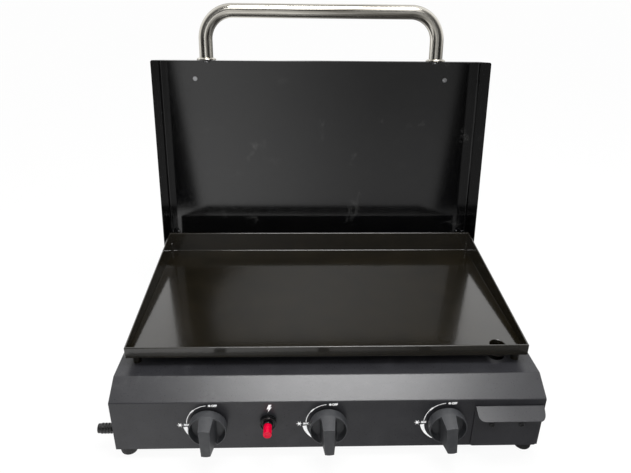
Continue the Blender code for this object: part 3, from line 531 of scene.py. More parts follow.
def leaned(bm):
    """The solid moved from the lid's own axes to where the lid stands."""
    bmesh.ops.transform(bm, matrix=lean, verts=bm.verts)
    return bm


lid_low, lid_high = lid_limits("lid_shell")
edge_out = -lid_low.y
panel_back = lid_high.y
panel_in = panel_back - SHEET
foot_up = (-edge_out + panel_in * sin(LID_LEAN)) / cos(LID_LEAN)
heel = [(-edge_out * cos(turn), edge_out * sin(turn))
        for turn in [-(pi / 2 + LID_LEAN) * k / ARC_STEPS for k in range(ARC_STEPS + 1)]]
flange = [(panel_back, lid_high.z), (-edge_out, lid_high.z), *heel, (panel_in, foot_up),
          (panel_in, lid_low.z), (panel_back, lid_low.z)]
print("lid", round((lid_high.x - lid_low.x) / MM), "mm wide, flange edge", round(edge_out / MM), "mm out")


# %% [markdown]
# ## Lid sheet
# The box could be folded up from a flat net. An outer block minus an inner one gives the same walls in one
# cut, and both are rounded first, so that the sheet keeps its thickness in the folds.

# %% The lid with rounded folds and its holes
LID_BEND = 3.5 * MM
BEND_STEPS = 5
ROUND = 0.5
FACING = 0.999
OPEN_REACH = 4
FOLD_TURN = radians(45)
HINGE_HOLE = 6.6 * MM
# Each bolt's axis, the place of its hole along that axis, and the hole's width
BOLT_HOLES = {"lid_bolt": ("Y", panel_in, 5.6 * MM), "handle_bolt": ("Z", lid_high.z, 6.6 * MM)}


def round_folds(bm, radius):
    """Round the folds between the panel, the flange at its far end and the two side flanges."""
    folded = (Vector((1, 0, 0)), Vector((-1, 0, 0)), Vector((0, 1, 0)), Vector((0, 0, 1)))
    edges = []
    for edge in bm.edges:
        facing = [any(face.normal.dot(way) > FACING for way in folded) for face in edge.link_faces]
        if all(facing) and edge.calc_face_angle(0) > FOLD_TURN:
            edges.append(edge)
    bmesh.ops.bevel(bm, geom=edges, offset=radius, segments=BEND_STEPS, profile=ROUND, affect="EDGES")
    return bm


outer = round_folds(push(flange, "X", lid_low.x, lid_high.x), LID_BEND)
open_side = -OPEN_REACH * edge_out
inner = round_folds(block((lid_low.x + SHEET, lid_high.x - SHEET), (open_side, panel_in),
                          (open_side, lid_high.z - SHEET)), LID_BEND - SHEET)
drilled = [rod(HINGE_HOLE / 2, "X", (0, 0, 0), lid_low.x - CUT, lid_high.x + CUT)]
for bolt, (axis, face, width) in BOLT_HOLES.items():
    for side in SIDES:
        spot = centred(*lid_limits(f"{bolt}_{side}"), axis, face)
        drilled.append(rod(width / 2, axis, spot, -CUT, CUT))
place("lid_box", leaned(shaped(outer, "DIFFERENCE", inner, *drilled)), "lid_paint", "lid", ["lid_shell"],
      sheet_metal=True)


# %% [markdown]
# ## Welds inside the lid
# Plug welds along the two inner corners show through the paint as small flat blisters. Relief in the paint
# could draw them, but a low turned bead also stands out in a side view.

# %% Weld blisters
WELD = 5.0 * MM
WELD_CROWN = 3.5 * MM
WELD_RISE = 0.7 * MM
WELD_EDGE = 0.4 * MM
WELD_PITCH = 76 * MM
WELD_FROM_TOP = 36 * MM
WELD_FROM_PANEL = 9 * MM
WELDS = 4
for side, x, face in zip(SIDES, (lid_low.x + SHEET, lid_high.x - SHEET), (1, -1)):
    blister = [(0, 0), (WELD / 2, 0), (WELD_CROWN / 2, face * WELD_RISE), (0, face * WELD_RISE)]
    beads = []
    for k in range(WELDS):
        spot = (x, panel_in - WELD_FROM_PANEL, lid_high.z - WELD_FROM_TOP - k * WELD_PITCH)
        beads.append(spin(soften(blister, WELD_EDGE), "X", spot, BEAD_SIDES))
    place(f"lid_welds_{side}", leaned(gather(*beads)), "lid_paint", "lid")


# %% [markdown]
# ## Handle
# A round stainless tube bent twice, standing on the lid's front edge. Its path is two legs, two arcs and a
# straight grip, and rings of points swept along it give a finer tube than the frame's. Each point keeps its
# place round and along the tube, so that the brushed streaks follow the bends.

# %% The bent tube
TUBE_SIDES = 48
TUBE_BEND = 48 * MM
TUBE_BEND_STEPS = 20
ACROSS = Vector((0, 1, 0))


def brush_along(piece, spots):
    """Lay the brushed streaks: each vertex's place round and along the tube, in metres."""
    lay = piece.data.attributes.new("brushing", "FLOAT_VECTOR", "POINT")
    lay.data.foreach_set("vector", [value for spot in spots for value in spot])


tube_low, tube_high = lid_limits("lid_handle")
tube = (tube_high.y - tube_low.y) / 2
tube_y = (tube_high.y + tube_low.y) / 2
left_x, right_x = tube_low.x + tube, tube_high.x - tube
bend_z = tube_high.z - tube - TUBE_BEND
path = [(left_x, tube_low.z), (left_x, tube_low.z + tube)]
for centre_x, start, end in ((left_x + TUBE_BEND, pi, pi / 2), (right_x - TUBE_BEND, pi / 2, 0)):
    for k in range(TUBE_BEND_STEPS + 1):
        turn = start + (end - start) * k / TUBE_BEND_STEPS
        path.append((centre_x + TUBE_BEND * cos(turn), bend_z + TUBE_BEND * sin(turn)))
path += [(right_x, tube_low.z + tube), (right_x, tube_low.z)]
turns = [2 * pi * k / TUBE_SIDES for k in range(TUBE_SIDES)]
rings = []
for i, (x, z) in enumerate(path):
    before, after = path[max(i - 1, 0)], path[min(i + 1, len(path) - 1)]
    along = Vector((after[0] - before[0], 0, after[1] - before[1])).normalized()
    normal = along.cross(ACROSS)
    centre = Vector((x, tube_y, z))
    rings.append([centre + tube * (cos(turn) * normal + sin(turn) * ACROSS) for turn in turns])
handle = place("handle_bar", leaned(loft(rings)), "stainless", "lid", ["lid_handle"], sharp=60)
lengths = [0.0]
for a, b in zip(path, path[1:]):
    lengths.append(lengths[-1] + (Vector(b) - Vector(a)).length)
brush_along(handle, [(tube * sin(turn), length, tube * cos(turn)) for length in lengths for turn in turns])
print("tube", round(2 * tube / MM), "mm thick and", round(lengths[-1] / MM), "mm long")


# %% [markdown]
# ## Rosettes
# Each leg of the handle stands in a pressed cup that hides the hole in the lid. It is round, so it is turned
# from one softened outline.

# %% The two rosettes
ROSETTE_STEP = 0.45
ROSETTE_LIP = 2.2 * MM
ROSETTE_EDGE = 1.2 * MM
for side in SIDES:
    ring_low, ring_high = lid_limits(f"handle_rosette_{side}")
    centre = centred(ring_low, ring_high, "Z", ring_low.z)
    disc = (ring_high.x - ring_low.x) / 2
    tall = ring_high.z - ring_low.z
    cup = [(tube + SEAT, 0), (disc, 0), (disc, tall * ROSETTE_STEP), (tube + ROSETTE_LIP, tall),
           (tube + SEAT, tall)]
    rosette = place(f"rosette_{side}", leaned(spin(soften(cup, ROSETTE_EDGE, closed=True), "Z", centre)),
                    "stainless", "lid", [f"handle_rosette_{side}"])
    brush_along(rosette, [tuple(upright @ vert.co) for vert in rosette.data.vertices])


# %% [markdown]
# ## Lid nuts
# Two bolts near the lid's front edge end inside in hexagon nuts. A nut is a six-sided rod with its corners
# cut off by a cone, and the bolt's rounded end stands a little out of it: small, but bright on black.

# %% The two nuts inside the lid
NUT_SHARE = 0.75
NUT_CROWN = 0.86
CHAMFER_FROM = 0.5
STUD_SHARE = 0.5
STUD_EDGE = 0.5 * MM
for side in SIDES:
    nut_low, nut_high = lid_limits(f"lid_bolt_{side}")
    centre = centred(nut_low, nut_high, "Y", panel_in)
    tip = nut_low.y - panel_in
    head = nut_high.y - panel_in
    nut_top = tip * NUT_SHARE
    wide = (nut_high.x - nut_low.x) / 2
    stem = wide * STUD_SHARE
    hexagon = rod(wide, "Y", centre, nut_top, -SEAT, HEXAGON)
    cone = spin([(0, nut_top), (wide * NUT_CROWN, nut_top), (wide, tip * CHAMFER_FROM), (wide, 0), (0, 0)],
                "Y", centre, FINE_SIDES)
    stud_side = soften([(0, tip), (stem, tip), (stem, head), (0, head)], STUD_EDGE)
    stud = spin(stud_side, "Y", centre, ROD_SIDES)
    nut = shaped(shaped(hexagon, "INTERSECT", cone), "UNION", stud)
    place(f"lid_nut_{side}", leaned(nut), "zinc_steel", "lid", [f"lid_bolt_{side}"])


# %% [markdown]
# ## Griddle plate
# Heavy plate with welded walls, dipped in glass and fired. Enamel pulls back from sharp edges, so every edge
# is rounded. A copy of the node with a bevel of a millimetre gives that, drain hole and corners included.

# %% The plate with rounded edges
ENAMEL_EDGE = 1.1 * MM
EDGE_STEPS = 3
RIM_TURN = radians(35)
FLAT_TURN = radians(1)
ONE_SPOT = 0.01 * MM
tray = bmesh.new()
tray.from_mesh(frame["nodes"]["griddle_plate"].data)
bmesh.ops.remove_doubles(tray, verts=tray.verts, dist=ONE_SPOT)
bmesh.ops.dissolve_limit(tray, angle_limit=FLAT_TURN, verts=tray.verts, edges=tray.edges)
rims = [edge for edge in tray.edges if edge.is_manifold and edge.calc_face_angle() > RIM_TURN]
bmesh.ops.bevel(tray, geom=rims, offset=ENAMEL_EDGE, segments=EDGE_STEPS, profile=ROUND, affect="EDGES")
place("enamel_plate", tray, "enamel", "griddle", ["griddle_plate"], sheet_metal=True)


# %% [markdown]
# ## Welds in the plate's corners
# The walls are welded where they meet at the back, and the glass runs over the bead as a row of small bright
# lumps. Turned lumps, close enough to overlap, give that without any relief in the material.

# %% Weld beads at the back
PLATE_WALL = 3.0 * MM
BEAD = 2.4 * MM
BEAD_ROUND = 0.8
BEAD_PITCH = 3.1 * MM
BEADS_UP = 5
lump = soften([(0, -BEAD), (BEAD, -BEAD), (BEAD, BEAD), (0, BEAD)], BEAD * BEAD_ROUND)
for side, x in zip(SIDES, (plate_low.x + PLATE_WALL, plate_high.x - PLATE_WALL)):
    beads = []
    for k in range(BEADS_UP):
        spot = (x, plate_high.y - PLATE_WALL, cook_z + BEAD_PITCH * k)
        beads.append(spin(lump, "Z", spot, BEAD_SIDES))
    place(f"corner_weld_{side}", gather(*beads), "enamel", "griddle")


# %% [markdown]
# ## Control knobs
# A moulded knob has a round skirt with a soft rim, two deep pockets for the fingers and, between them, a
# tall grip with straight flanks and round ends. It could be sculpted, but a turned skirt, cut pockets and a
# grip lofted from slices follow their sizes.

# %% The slices of a knob
GRIP_ENDS = 12
POCKET_STEPS = 48
CORNER_POWER = 5
NEARLY_NONE = 1e-6


def grip_slice(wide, reach, depth, taper):
    """An outline across the knob at a depth before the panel: straight flanks, round ends, narrower below."""
    points = []
    start = acos(wide / reach)
    for first in (start, pi + start):
        for k in range(GRIP_ENDS + 1):
            turn = first + (pi - 2 * start) * k / GRIP_ENDS
            z = reach * sin(turn)
            points.append((reach * cos(turn) * (1 + taper * z / reach), -depth, z))
    return points


def pocket_slice(side, flank, reach, depth):
    """One finger pocket's outline: inside a circle of the given reach and outside the grip's flank."""
    middle = (flank + reach) / 2
    points = []
    for k in range(POCKET_STEPS):
        turn = 2 * pi * k / POCKET_STEPS
        to_circle = -middle * cos(turn) + sqrt(reach ** 2 - (middle * sin(turn)) ** 2)
        to_flank = (middle - flank) / max(-cos(turn), NEARLY_NONE)
        away = (to_circle ** -CORNER_POWER + to_flank ** -CORNER_POWER) ** (-1 / CORNER_POWER)
        points.append((side * (middle + away * cos(turn)), -depth, away * sin(turn)))
    return points


knob_low, knob_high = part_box("knob_1")
knob_r = (knob_high.x - knob_low.x) / 2
knob_back = panel_y - knob_high.y
knob_proud = panel_y - knob_low.y
print("knob", round(2 * knob_r / MM, 1), "mm across, standing", round(knob_proud / MM), "mm off the panel")


# %% [markdown]
# ## One knob, used three times
# The pockets' slices narrow towards the bottom, as a mould needs to let go of the part. The grip narrows to
# its face for the same reason, and its edge is rounded by a last few slices.

# %% Make and place the knobs
SKIRT = 14 * MM
SKIRT_EDGE = 1.0 * MM
POCKET = 9 * MM
# Depth below the face, half the grip's width there and the wall left at the rim, all in millimetres
POCKET_LEVELS = ((-1.0, 9.0, 1.0), (0.0, 9.2, 1.3), (5.4, 10.0, 1.9), (9.0, 11.8, 3.9))
GRIP_STEPS = 10
GRIP_EDGE = 0.9 * MM
GRIP_EDGE_STEPS = 4
GRIP_ROOT = Vector((9.8, 26.0)) * MM
GRIP_FACE = Vector((6.9, 22.0)) * MM
GRIP_TAPER = 0.1
INSIDE = 0.05 * MM
STEM_BORE = 7.6 * MM
STEM_DEPTH = 14.3 * MM
KNOB_TURNS = (0.0, radians(-2.0), radians(-6.0))
skirt_front = knob_back + SKIRT


def make_skirt():
    """The round skirt with its two pockets."""
    outline = [(0, -knob_back), (knob_r, -knob_back), (knob_r, -skirt_front), (0, -skirt_front)]
    pockets = []
    for side in (-1, 1):
        slices = []
        for drop, flank, wall in POCKET_LEVELS:
            slices.append(pocket_slice(side, flank * MM, knob_r - wall * MM, skirt_front - drop * MM))
        pockets.append(loft(slices))
    skirt = spin(soften(outline, SKIRT_EDGE), "Y", (0, 0, 0), KNOB_SIDES)
    return shaped(skirt, "DIFFERENCE", *pockets)


def make_grip():
    """The grip that stands across the skirt."""
    slices = []
    root = skirt_front - POCKET / 2
    front = knob_proud - GRIP_EDGE
    for k in range(GRIP_STEPS + 1):
        t = k / GRIP_STEPS
        size = GRIP_ROOT.lerp(GRIP_FACE, t)
        reach = min(size.y, knob_r - INSIDE)
        slices.append(grip_slice(size.x, reach, root + (front - root) * t, GRIP_TAPER * t))
    for k in range(1, GRIP_EDGE_STEPS + 1):
        turn = pi / 2 * k / GRIP_EDGE_STEPS
        trim = GRIP_EDGE * (1 - cos(turn))
        depth = front + GRIP_EDGE * sin(turn)
        slices.append(grip_slice(GRIP_FACE.x - trim, GRIP_FACE.y - trim, depth, GRIP_TAPER))
    return loft(slices)


for number, (spot, turn) in enumerate(zip(knob_spots, KNOB_TURNS), 1):
    bore = rod(STEM_BORE / 2, "Y", (0, 0, 0), -knob_back - STEM_DEPTH, 0)
    knob = shaped(shaped(make_skirt(), "UNION", make_grip()), "DIFFERENCE", bore)
    turned = Matrix.Translation((spot.x, panel_y, spot.z)) @ Matrix.Rotation(turn, 4, "Y")
    bmesh.ops.transform(knob, verts=knob.verts, matrix=turned)
    place(f"knob_moulding_{number}", knob, "knob_plastic", f"knob_turn_{number}", [f"knob_{number}"])


# %% [markdown]
# ## Igniter
# A gloss bezel with a rolled rim, a shallow dish and a collar, and in the collar a long red push button
# whose end is a shallow cup. Both are round, so each is one outline, softened and turned.

# %% Bezel and button
MOULD_EDGE = 0.7 * MM
BEZEL_RIM = 1.5 * MM
BEZEL_SLANT = 2.4 * MM
BEZEL_DISH = 1.8 * MM
COLLAR = 1.1 * MM
COLLAR_RISE = 3.5 * MM
BARREL = 9 * MM
WELL_SPARE = 5.3 * MM
CUP = 0.8 * MM
CUP_RIM = 1.3 * MM
button_low, button_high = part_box("igniter_button")
button_r = (button_high.x - button_low.x) / 2
button_end = button_low.y - panel_y
button_in = button_high.y - panel_y
bezel_r = (bezel_high.x - bezel_low.x) / 2
bezel_front = bezel_low.y - panel_y
bezel_rear = bezel_high.y - panel_y
dish = bezel_front + BEZEL_DISH
collar_front = bezel_front - COLLAR_RISE
well = button_r + SEAT
well_end = button_in + WELL_SPARE
bezel = [(0, bezel_rear), (BARREL, bezel_rear), (BARREL, -SEAT), (bezel_r, -SEAT), (bezel_r, bezel_front),
         (bezel_r - BEZEL_RIM, bezel_front), (bezel_r - BEZEL_SLANT, dish), (well + COLLAR, dish),
         (well + COLLAR, collar_front), (well, collar_front), (well, well_end), (0, well_end)]
place("igniter_bezel", spin(soften(bezel, MOULD_EDGE), "Y", igniter), "bezel_plastic", "base",
      ["igniter_housing"])
button = [(0, button_in), (button_r, button_in), (button_r, button_end), (button_r - CUP_RIM, button_end),
          (button_r - CUP_RIM - CUP, button_end + CUP), (0, button_end + CUP)]
place("push_button", spin(soften(button, MOULD_EDGE), "Y", igniter), "button_red", "igniter_push",
      ["igniter_button"])


# %% [markdown]
# ## Grease drawer front
# A plate with its top edge folded forward and down as a pull lip with round corners. The fold is an outline
# pushed across, and the corners are trimmed off afterwards, as a press would do before folding.

# %% Drawer front
LIP_DROP = 9.5 * MM
LIP_CORNER = 10 * MM
LIP_TAPER = 3.5 * MM
FOOT_CORNER = 4 * MM
FOLD = 2.2 * MM
TRIM_REACH = 1.0
SCREW_HOLE = 4.6 * MM
face_low, face_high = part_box("drawer_front")
face_y = face_high.y - SHEET
top_z = face_high.z
lip_z = top_z - LIP_DROP
lip_thick = SHEET / cos(atan2(LIP_DROP, face_y - face_low.y))
over = soften([(face_high.y, face_low.z), (face_high.y, top_z), (face_low.y, lip_z)], FOLD)
under = soften([(face_low.y, lip_z - lip_thick), (face_y, top_z - lip_thick), (face_y, face_low.z)], FOLD)
behind_y = face_high.y + LIP_CORNER
above_z = top_z + LIP_CORNER
keep_lip = soften([(face_low.x, behind_y), (face_low.x, face_low.y), (face_high.x - LIP_TAPER, face_low.y),
                   (face_high.x, face_y), (face_high.x, behind_y)], LIP_CORNER, steps=10)
keep_face = soften([(face_low.x, above_z), (face_low.x, face_low.z), (face_high.x, face_low.z),
                    (face_high.x, above_z)], FOOT_CORNER, steps=8)
front = shaped(push(over + under, "X", face_low.x, face_high.x), "INTERSECT",
               push(keep_lip, "Z", 0, TRIM_REACH), push(keep_face, "Y", -TRIM_REACH, TRIM_REACH))
for side in SIDES:
    spot = centred(*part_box(f"drawer_screw_{side}"), "Y", face_y)
    front = shaped(front, "DIFFERENCE", rod(SCREW_HOLE / 2, "Y", spot, -SHEET, CUT))
place("drawer_face", front, "powder_coat", "drawer", ["drawer_front"], sheet_metal=True)


# %% [markdown]
# ## Drawer screws
# Two pan-head screws with a cross recess hold the front to the tray. The head is turned, and two crossed
# blocks cut the recess, which shows as a dark cross when one comes close.

# %% Pan-head screws
PAN_CROWN = 0.8
PAN_EDGE = 0.9 * MM
SCREW_SHANK = 2 * MM
CROSS_SPAN = 0.62
CROSS_HALF = 0.6 * MM
CROSS_DEPTH = 1.1 * MM
for side in SIDES:
    low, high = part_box(f"drawer_screw_{side}")
    centre = centred(low, high, "Y", face_y)
    head = (high.x - low.x) / 2
    rise = low.y - face_y
    end = high.y - face_y
    outline = [(0, rise), (head * PAN_CROWN, rise), (head, -SEAT), (SCREW_SHANK, -SEAT), (SCREW_SHANK, end),
               (0, end)]
    wing = head * CROSS_SPAN
    slots = []
    for half_x, half_z in ((wing, CROSS_HALF), (CROSS_HALF, wing)):
        slots.append(block((centre.x - half_x, centre.x + half_x),
                           (low.y - CROSS_DEPTH, low.y + CROSS_DEPTH),
                           (centre.z - half_z, centre.z + half_z)))
    screw = shaped(spin(soften(outline, PAN_EDGE), "Y", centre, FINE_SIDES), "DIFFERENCE", *slots)
    place(f"pan_screw_{side}", screw, "black_screw", "drawer", [f"drawer_screw_{side}"])


# %% [markdown]
# ## Feet
# The feet are rubber bumpers that narrow to a soft lower edge. Each is turned from a softened profile, with
# the flat that stands on the table kept at the frame's height.

# %% Four bumpers
FOOT_BASE = 0.9
FOOT_BELLY = 0.5
FOOT_EDGE = 3.0 * MM
for end in ("front", "rear"):
    for side in SIDES:
        node = f"foot_{end}_{side}"
        low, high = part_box(node)
        wide = (high.x - low.x) / 2
        tall = high.z - low.z
        bumper = [(0, 0), (wide * FOOT_BASE, 0), (wide, tall * FOOT_BELLY), (wide, tall), (0, tall)]
        foot = spin(soften(bumper, FOOT_EDGE), "Z", centred(low, high, "Z", low.z), FINE_SIDES)
        place(f"bumper_{end}_{side}", foot, "rubber", "base", [node])


# %% [markdown]
# ## Inlet cap
# The gas inlet wears a ribbed polythene cap, so that fingers can pull it off. The ribs are steps in the
# turned outline, which runs from the socket inside round the mouth to the closed end.

# %% Ribbed cap
CAP_RIBS = 4
CAP_END = 3 * MM
RIB_DEPTH = 0.7 * MM
RIB_EDGE = 0.4 * MM
# A rib's far edge, then the floor of the groove after it from start to end, as shares of the pitch
RIB_TOP, GROOVE_START, GROOVE_END = 0.6, 0.65, 0.97
SOCKET = 4.55 * MM
SOCKET_END = 18.3 * MM
cap_low, cap_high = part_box("inlet_cap")
cap_r = (cap_high.y - cap_low.y) / 2
cap_long = cap_high.x - cap_low.x
groove = cap_r - RIB_DEPTH
pitch = (cap_long - CAP_END) / CAP_RIBS
cap = [(0, -SOCKET_END), (SOCKET, -SOCKET_END), (SOCKET, 0)]
for k in range(CAP_RIBS):
    cap += [(cap_r, -pitch * k), (cap_r, -pitch * (k + RIB_TOP)), (groove, -pitch * (k + GROOVE_START)),
            (groove, -pitch * (k + GROOVE_END))]
cap += [(groove, -cap_long), (0, -cap_long)]
mouth = centred(cap_low, cap_high, "X", cap_high.x)
place("ribbed_cap", spin(soften(cap, RIB_EDGE, steps=3), "X", mouth, FINE_SIDES), "cap_plastic",
      "inlet_cover", ["inlet_cap"])


# %% [markdown]
# ## Printing on the panel
# Screen print could be a picture laid on the paint, but a thin film of ink with its own white finish stays
# sharp from close by. Rings, dots and stars are worked out, and words come from the built-in font.

# %% Ink helpers
INK_FILM = 0.12 * MM
INK_GAP = 0.02 * MM
LETTER_JOIN = 0.005 * MM
BOLD = 0.08


def ink_patch(outline):
    """A film of ink from an outline of (x, z) pairs."""
    return push(outline, "Y", panel_y - INK_FILM, panel_y - INK_GAP)


def around(centre, reaches):
    """An outline of points evenly round a centre, each at its own reach: a dot or a star."""
    outline = []
    for k, reach in enumerate(reaches):
        turn = 2 * pi * k / len(reaches)
        outline.append((centre.x + reach * cos(turn), centre.z + reach * sin(turn)))
    return outline


def band(centre, arc, inner_r, outer_r, steps=24):
    """An outline round part of a ring; each radius is a (start, end) pair, so a band can taper."""
    outside, inside = [], []
    for k in range(steps + 1):
        share = k / steps
        turn = radians(arc[0] + (arc[1] - arc[0]) * share)
        for edge, radii in ((outside, outer_r), (inside, inner_r)):
            reach = radii[0] + (radii[1] - radii[0]) * share
            edge.append((centre.x + reach * cos(turn), centre.z + reach * sin(turn)))
    return outside + inside[::-1]


def word(text, corner, size):
    """A word as a film of bold ink, fitted to a (width, height) size from its lower left corner."""
    font = bpy.data.curves.new("word", "FONT")
    font.body = text
    font.offset = BOLD
    sign = stand("word", font)
    graph = bpy.context.evaluated_depsgraph_get()
    film = bmesh.new()
    film.from_mesh(sign.evaluated_get(graph).to_mesh())
    bpy.data.objects.remove(sign, do_unlink=True)
    low = [min(vert.co[k] for vert in film.verts) for k in range(2)]
    high = [max(vert.co[k] for vert in film.verts) for k in range(2)]
    for vert in film.verts:
        across, up = [(vert.co[k] - low[k]) / (high[k] - low[k]) * size[k] for k in range(2)]
        vert.co = (corner.x + across, panel_y - INK_GAP, corner.z + up)
    bmesh.ops.remove_doubles(film, verts=film.verts, dist=LETTER_JOIN)
    raised = bmesh.ops.extrude_face_region(film, geom=film.faces[:])["geom"]
    tops = [item for item in raised if isinstance(item, bmesh.types.BMVert)]
    bmesh.ops.translate(film, vec=(0, INK_GAP - INK_FILM, 0), verts=tops)
    return outward(film)


print("ink stands", round(INK_FILM / MM, 2), "mm off the paint")


# %% [markdown]
# ## Legends
# Beside each knob a dot and the word OFF stand at the top. From there a thin arc with a short thick dash
# runs to a star and the word MAX, and below them a wedge thins as the flame goes down. A spark stands over
# the igniter.

# %% Knob legends and spark
SWEEP = 31.5 * MM
SWEEP_SHIFT = Vector((1.3, 0.0, -1.2)) * MM
LINE = 0.45 * MM
LINE_ARC = (97, 178)
DASH = 1.05 * MM
DASH_ARC = (131, 143)
DASH_STEPS = 8
WEDGE_ARC = (189, 240)
WEDGE_INNER = (31.0 * MM, 34.4 * MM)
WEDGE_OUTER = (36.8 * MM, 35.4 * MM)
DOT = 1.9 * MM
DOT_STEPS = 24
DOT_SHIFT = Vector((1.2, 0.0, 31.1)) * MM
OFF_SHIFT = Vector((2.6, 0.0, -1.9)) * MM
OFF_SIZE = (7.6 * MM, 3.9 * MM)
MAX_SHIFT = Vector((-34.0, 0.0, -4.5)) * MM
MAX_SIZE = (7.6 * MM, 3.5 * MM)
STAR_SHIFT = Vector((-39.4, 0.0, -2.9)) * MM
STAR_TIP = 4.4 * MM
STAR_WAIST = 1.4 * MM
STAR_POINTS = 6
SPARK = ((-0.6, 6.5), (3.4, 6.5), (1.6, 2.0), (3.6, 2.0), (-2.0, -6.8), (-0.6, -1.2), (-3.2, -1.2))
SPARK_SHIFT = Vector((1.7, 0.0, 21.5)) * MM
for number, knob_spot in enumerate(knob_spots, 1):
    spot = knob_spot + SWEEP_SHIFT
    top = spot + DOT_SHIFT
    outlines = [
        band(spot, LINE_ARC, (SWEEP - LINE,) * 2, (SWEEP + LINE,) * 2),
        band(spot, DASH_ARC, (SWEEP - DASH,) * 2, (SWEEP - LINE,) * 2, DASH_STEPS),
        band(spot, DASH_ARC, (SWEEP + LINE,) * 2, (SWEEP + DASH,) * 2, DASH_STEPS),
        band(spot, WEDGE_ARC, WEDGE_INNER, WEDGE_OUTER),
        around(top, [DOT] * DOT_STEPS),
        around(knob_spot + STAR_SHIFT, [STAR_TIP, STAR_WAIST] * STAR_POINTS),
    ]
    words = [word("OFF", top + OFF_SHIFT, OFF_SIZE), word("MAX", knob_spot + MAX_SHIFT, MAX_SIZE)]
    marks = gather(*[ink_patch(outline) for outline in outlines], *words)
    place(f"legend_{number}", marks, "powder_coat", "base", ink=INK)
over_igniter = igniter + SPARK_SHIFT
spark = [(over_igniter.x + x * MM, over_igniter.z + z * MM) for x, z in SPARK]
place("legend_spark", ink_patch(spark), "powder_coat", "base", ink=INK)


# %% [markdown]
# ## Studio floor
# The griddle stands on white paper. The paper adds its own white to what the camera sees, never to the
# light, and so keeps a soft shadow. Black paint shows the room more than its own colour: in reflections the
# paper is bright to the left and fades to the right, as in a room with its windows on one side.

# %% White paper
FLOOR_SIZE = 30.0
PAPER_WHITE = 0.93
PAPER_MIRRORED = {"From Min": -0.25, "From Max": 0.2, "To Min": 0.95, "To Max": 0.2}
grid = bmesh.new()
bmesh.ops.create_grid(grid, x_segments=2, y_segments=2, size=FLOOR_SIZE / 2)
floor = stand("studio_floor", as_mesh("studio_floor", grid))
paper = bpy.data.materials.new("paper_white")
paper.use_nodes = True
tree = paper.node_tree
shader = tree.nodes["Principled BSDF"]
shader.inputs["Base Color"].default_value = linear("#f6f6f6")
shader.inputs["Roughness"].default_value = 0.9
shader.inputs["Specular IOR Level"].default_value = 0.1
seen = add(tree, "LightPath")
share = add(tree, "Math", {0: seen.outputs["Is Camera Ray"], 1: PAPER_WHITE}, operation="MULTIPLY")
white = add(tree, "Emission")
pale = add(tree, "MixShader", {0: share, 1: shader, 2: white})
ground = add(tree, "SeparateXYZ", {0: add(tree, "TexCoord").outputs["Object"]})
fading = add(tree, "MapRange", {"Value": ground.outputs["X"], **PAPER_MIRRORED})
mirrored = add(tree, "Emission", {"Strength": fading})
mixed = add(tree, "MixShader", {0: seen.outputs["Is Glossy Ray"], 1: pale, 2: mirrored})
tree.links.new(mixed.outputs[0], tree.nodes["Material Output"].inputs["Surface"])
floor.data.materials.append(paper)
print("paper", FLOOR_SIZE, "m wide")


# %% [markdown]
# ## Reflector card
# What draws the grey field inside the open lid, with its dark slanting sides, is something pale in front of
# the griddle. A photographer stands up a card for that. Only reflections see this one: a white lane that
# widens upwards, brighter to the left and towards its foot.

# %% A card with a white lane
CARD_Y = -1.1
CARD_HALF = 2.5
CARD_TALL = 0.8
LANE_MIDDLE = middle_x + 0.045
LANE_HALF = 0.505
LANE_SPREAD = 0.145
SMOOTH = {"interpolation_type": "SMOOTHSTEP"}
LANE_SOFT = {"From Min": -0.02, "From Max": 0.02}
LANE_LEFT = {"From Min": 0.4, "From Max": -0.5, "To Min": 0.33, "To Max": 0.88}
LANE_LOW = {"From Min": 0.55, "From Max": 0.1, "To Max": 0.12}
card_mesh = bpy.data.meshes.new("reflector_card")
card_mesh.from_pydata([(-CARD_HALF, CARD_Y, 0), (CARD_HALF, CARD_Y, 0), (CARD_HALF, CARD_Y, CARD_TALL),
                       (-CARD_HALF, CARD_Y, CARD_TALL)], [], [(0, 1, 2, 3)])
card = stand("reflector_card", card_mesh)
board = bpy.data.materials.new("card_white_lane")
board.use_nodes = True
tree = board.node_tree
tree.nodes.clear()
spot = add(tree, "SeparateXYZ", {0: add(tree, "TexCoord").outputs["Object"]})
aside = add(tree, "Math", {0: spot.outputs["X"], 1: LANE_MIDDLE}, operation="SUBTRACT")
away = add(tree, "Math", {0: aside}, operation="ABSOLUTE")
half = add(tree, "Math", {0: spot.outputs["Z"], 1: LANE_SPREAD, 2: LANE_HALF}, operation="MULTIPLY_ADD")
inside = add(tree, "Math", {0: half, 1: away}, operation="SUBTRACT")
lane = add(tree, "MapRange", {"Value": inside, **LANE_SOFT}, **SMOOTH)
left = add(tree, "MapRange", {"Value": spot.outputs["X"], **LANE_LEFT}, **SMOOTH)
low = add(tree, "MapRange", {"Value": spot.outputs["Z"], **LANE_LOW}, **SMOOTH)
total = add(tree, "Math", {0: left, 1: low}, operation="ADD")
shown = add(tree, "Math", {0: total, 1: lane}, operation="MULTIPLY")
lit = add(tree, "Emission", {"Strength": shown})
add(tree, "OutputMaterial", {"Surface": lit})
card_mesh.materials.append(board)
for ray in ("camera", "diffuse", "transmission", "shadow"):
    setattr(card, f"visible_{ray}", False)
print("card", CARD_TALL, "m tall, its lane", round(2 * LANE_HALF, 2), "m wide at the foot")


# %% [markdown]
# ## White surround
# The room is plain white to the camera and a soft fill to the object. In reflections it is white behind the
# griddle and dark in front, where the photographer stands, for contrast in enamel and tube.

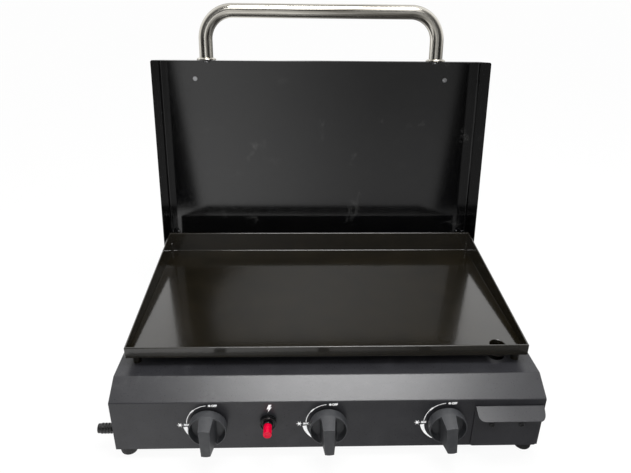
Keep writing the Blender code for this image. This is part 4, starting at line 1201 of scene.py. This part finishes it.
# %% The surround
SKY_LIGHT = 0.85
SKY_TURN = {"From Min": -0.35, "From Max": 0.15, "To Min": 0.12, "To Max": 1.0}
world = bpy.data.worlds.new("white_surround")
bpy.context.scene.world = world
world.use_nodes = True
tree = world.node_tree
tree.nodes.clear()
seen = add(tree, "LightPath")
either = add(tree, "Math", {0: seen.outputs["Is Camera Ray"], 1: seen.outputs["Is Glossy Ray"]},
             operation="MAXIMUM")
any_ray = add(tree, "Math", {0: either, 1: seen.outputs["Is Transmission Ray"]}, operation="MAXIMUM")
soft = add(tree, "Background", {"Color": linear("#ffffff"), "Strength": SKY_LIGHT})
facing = add(tree, "SeparateXYZ", {0: add(tree, "TexCoord").outputs["Generated"]})
behind = add(tree, "MapRange", {"Value": facing.outputs["Y"], **SKY_TURN}, **SMOOTH)
whole = add(tree, "Math", {0: behind, 1: seen.outputs["Is Camera Ray"]}, operation="MAXIMUM")
bright = add(tree, "Background", {"Color": linear("#ffffff"), "Strength": whole})
sky = add(tree, "MixShader", {0: any_ray, 1: soft, 2: bright})
add(tree, "OutputWorld", {"Surface": sky})
print("surround gives", SKY_LIGHT, "and shows", SKY_TURN["To Max"])


# %% [markdown]
# ## Lamps
# A large softbox overhead draws the bright band on the sloping facet. A second one, high in front and with a
# grid that narrows its beam, shows by way of the lid as the faint glow in the middle of the plate.

# %% Two softboxes
LAMPS = {
    "overhead_softbox": {"spot": (middle_x + 0.13, -0.29, 1.75), "tilt": -3, "size": (1.05, 0.66),
                         "watts": 23.0, "spread": 180},
    "front_softbox": {"spot": (middle_x + 0.32, -1.15, 1.8), "tilt": 42, "size": (1.7, 0.9),
                      "watts": 1.25, "spread": 52},
}
for name, plan in LAMPS.items():
    lamp_data = bpy.data.lights.new(name, "AREA")
    lamp_data.shape = "ELLIPSE"
    lamp_data.size, lamp_data.size_y = plan["size"]
    lamp_data.energy = plan["watts"]
    lamp_data.spread = radians(plan["spread"])
    lamp = stand(name, lamp_data)
    lamp.location = plan["spot"]
    lamp.rotation_euler = (radians(plan["tilt"]), 0, 0)
bpy.context.scene.view_settings.view_transform = "Standard"
print("lamps:", list(LAMPS))
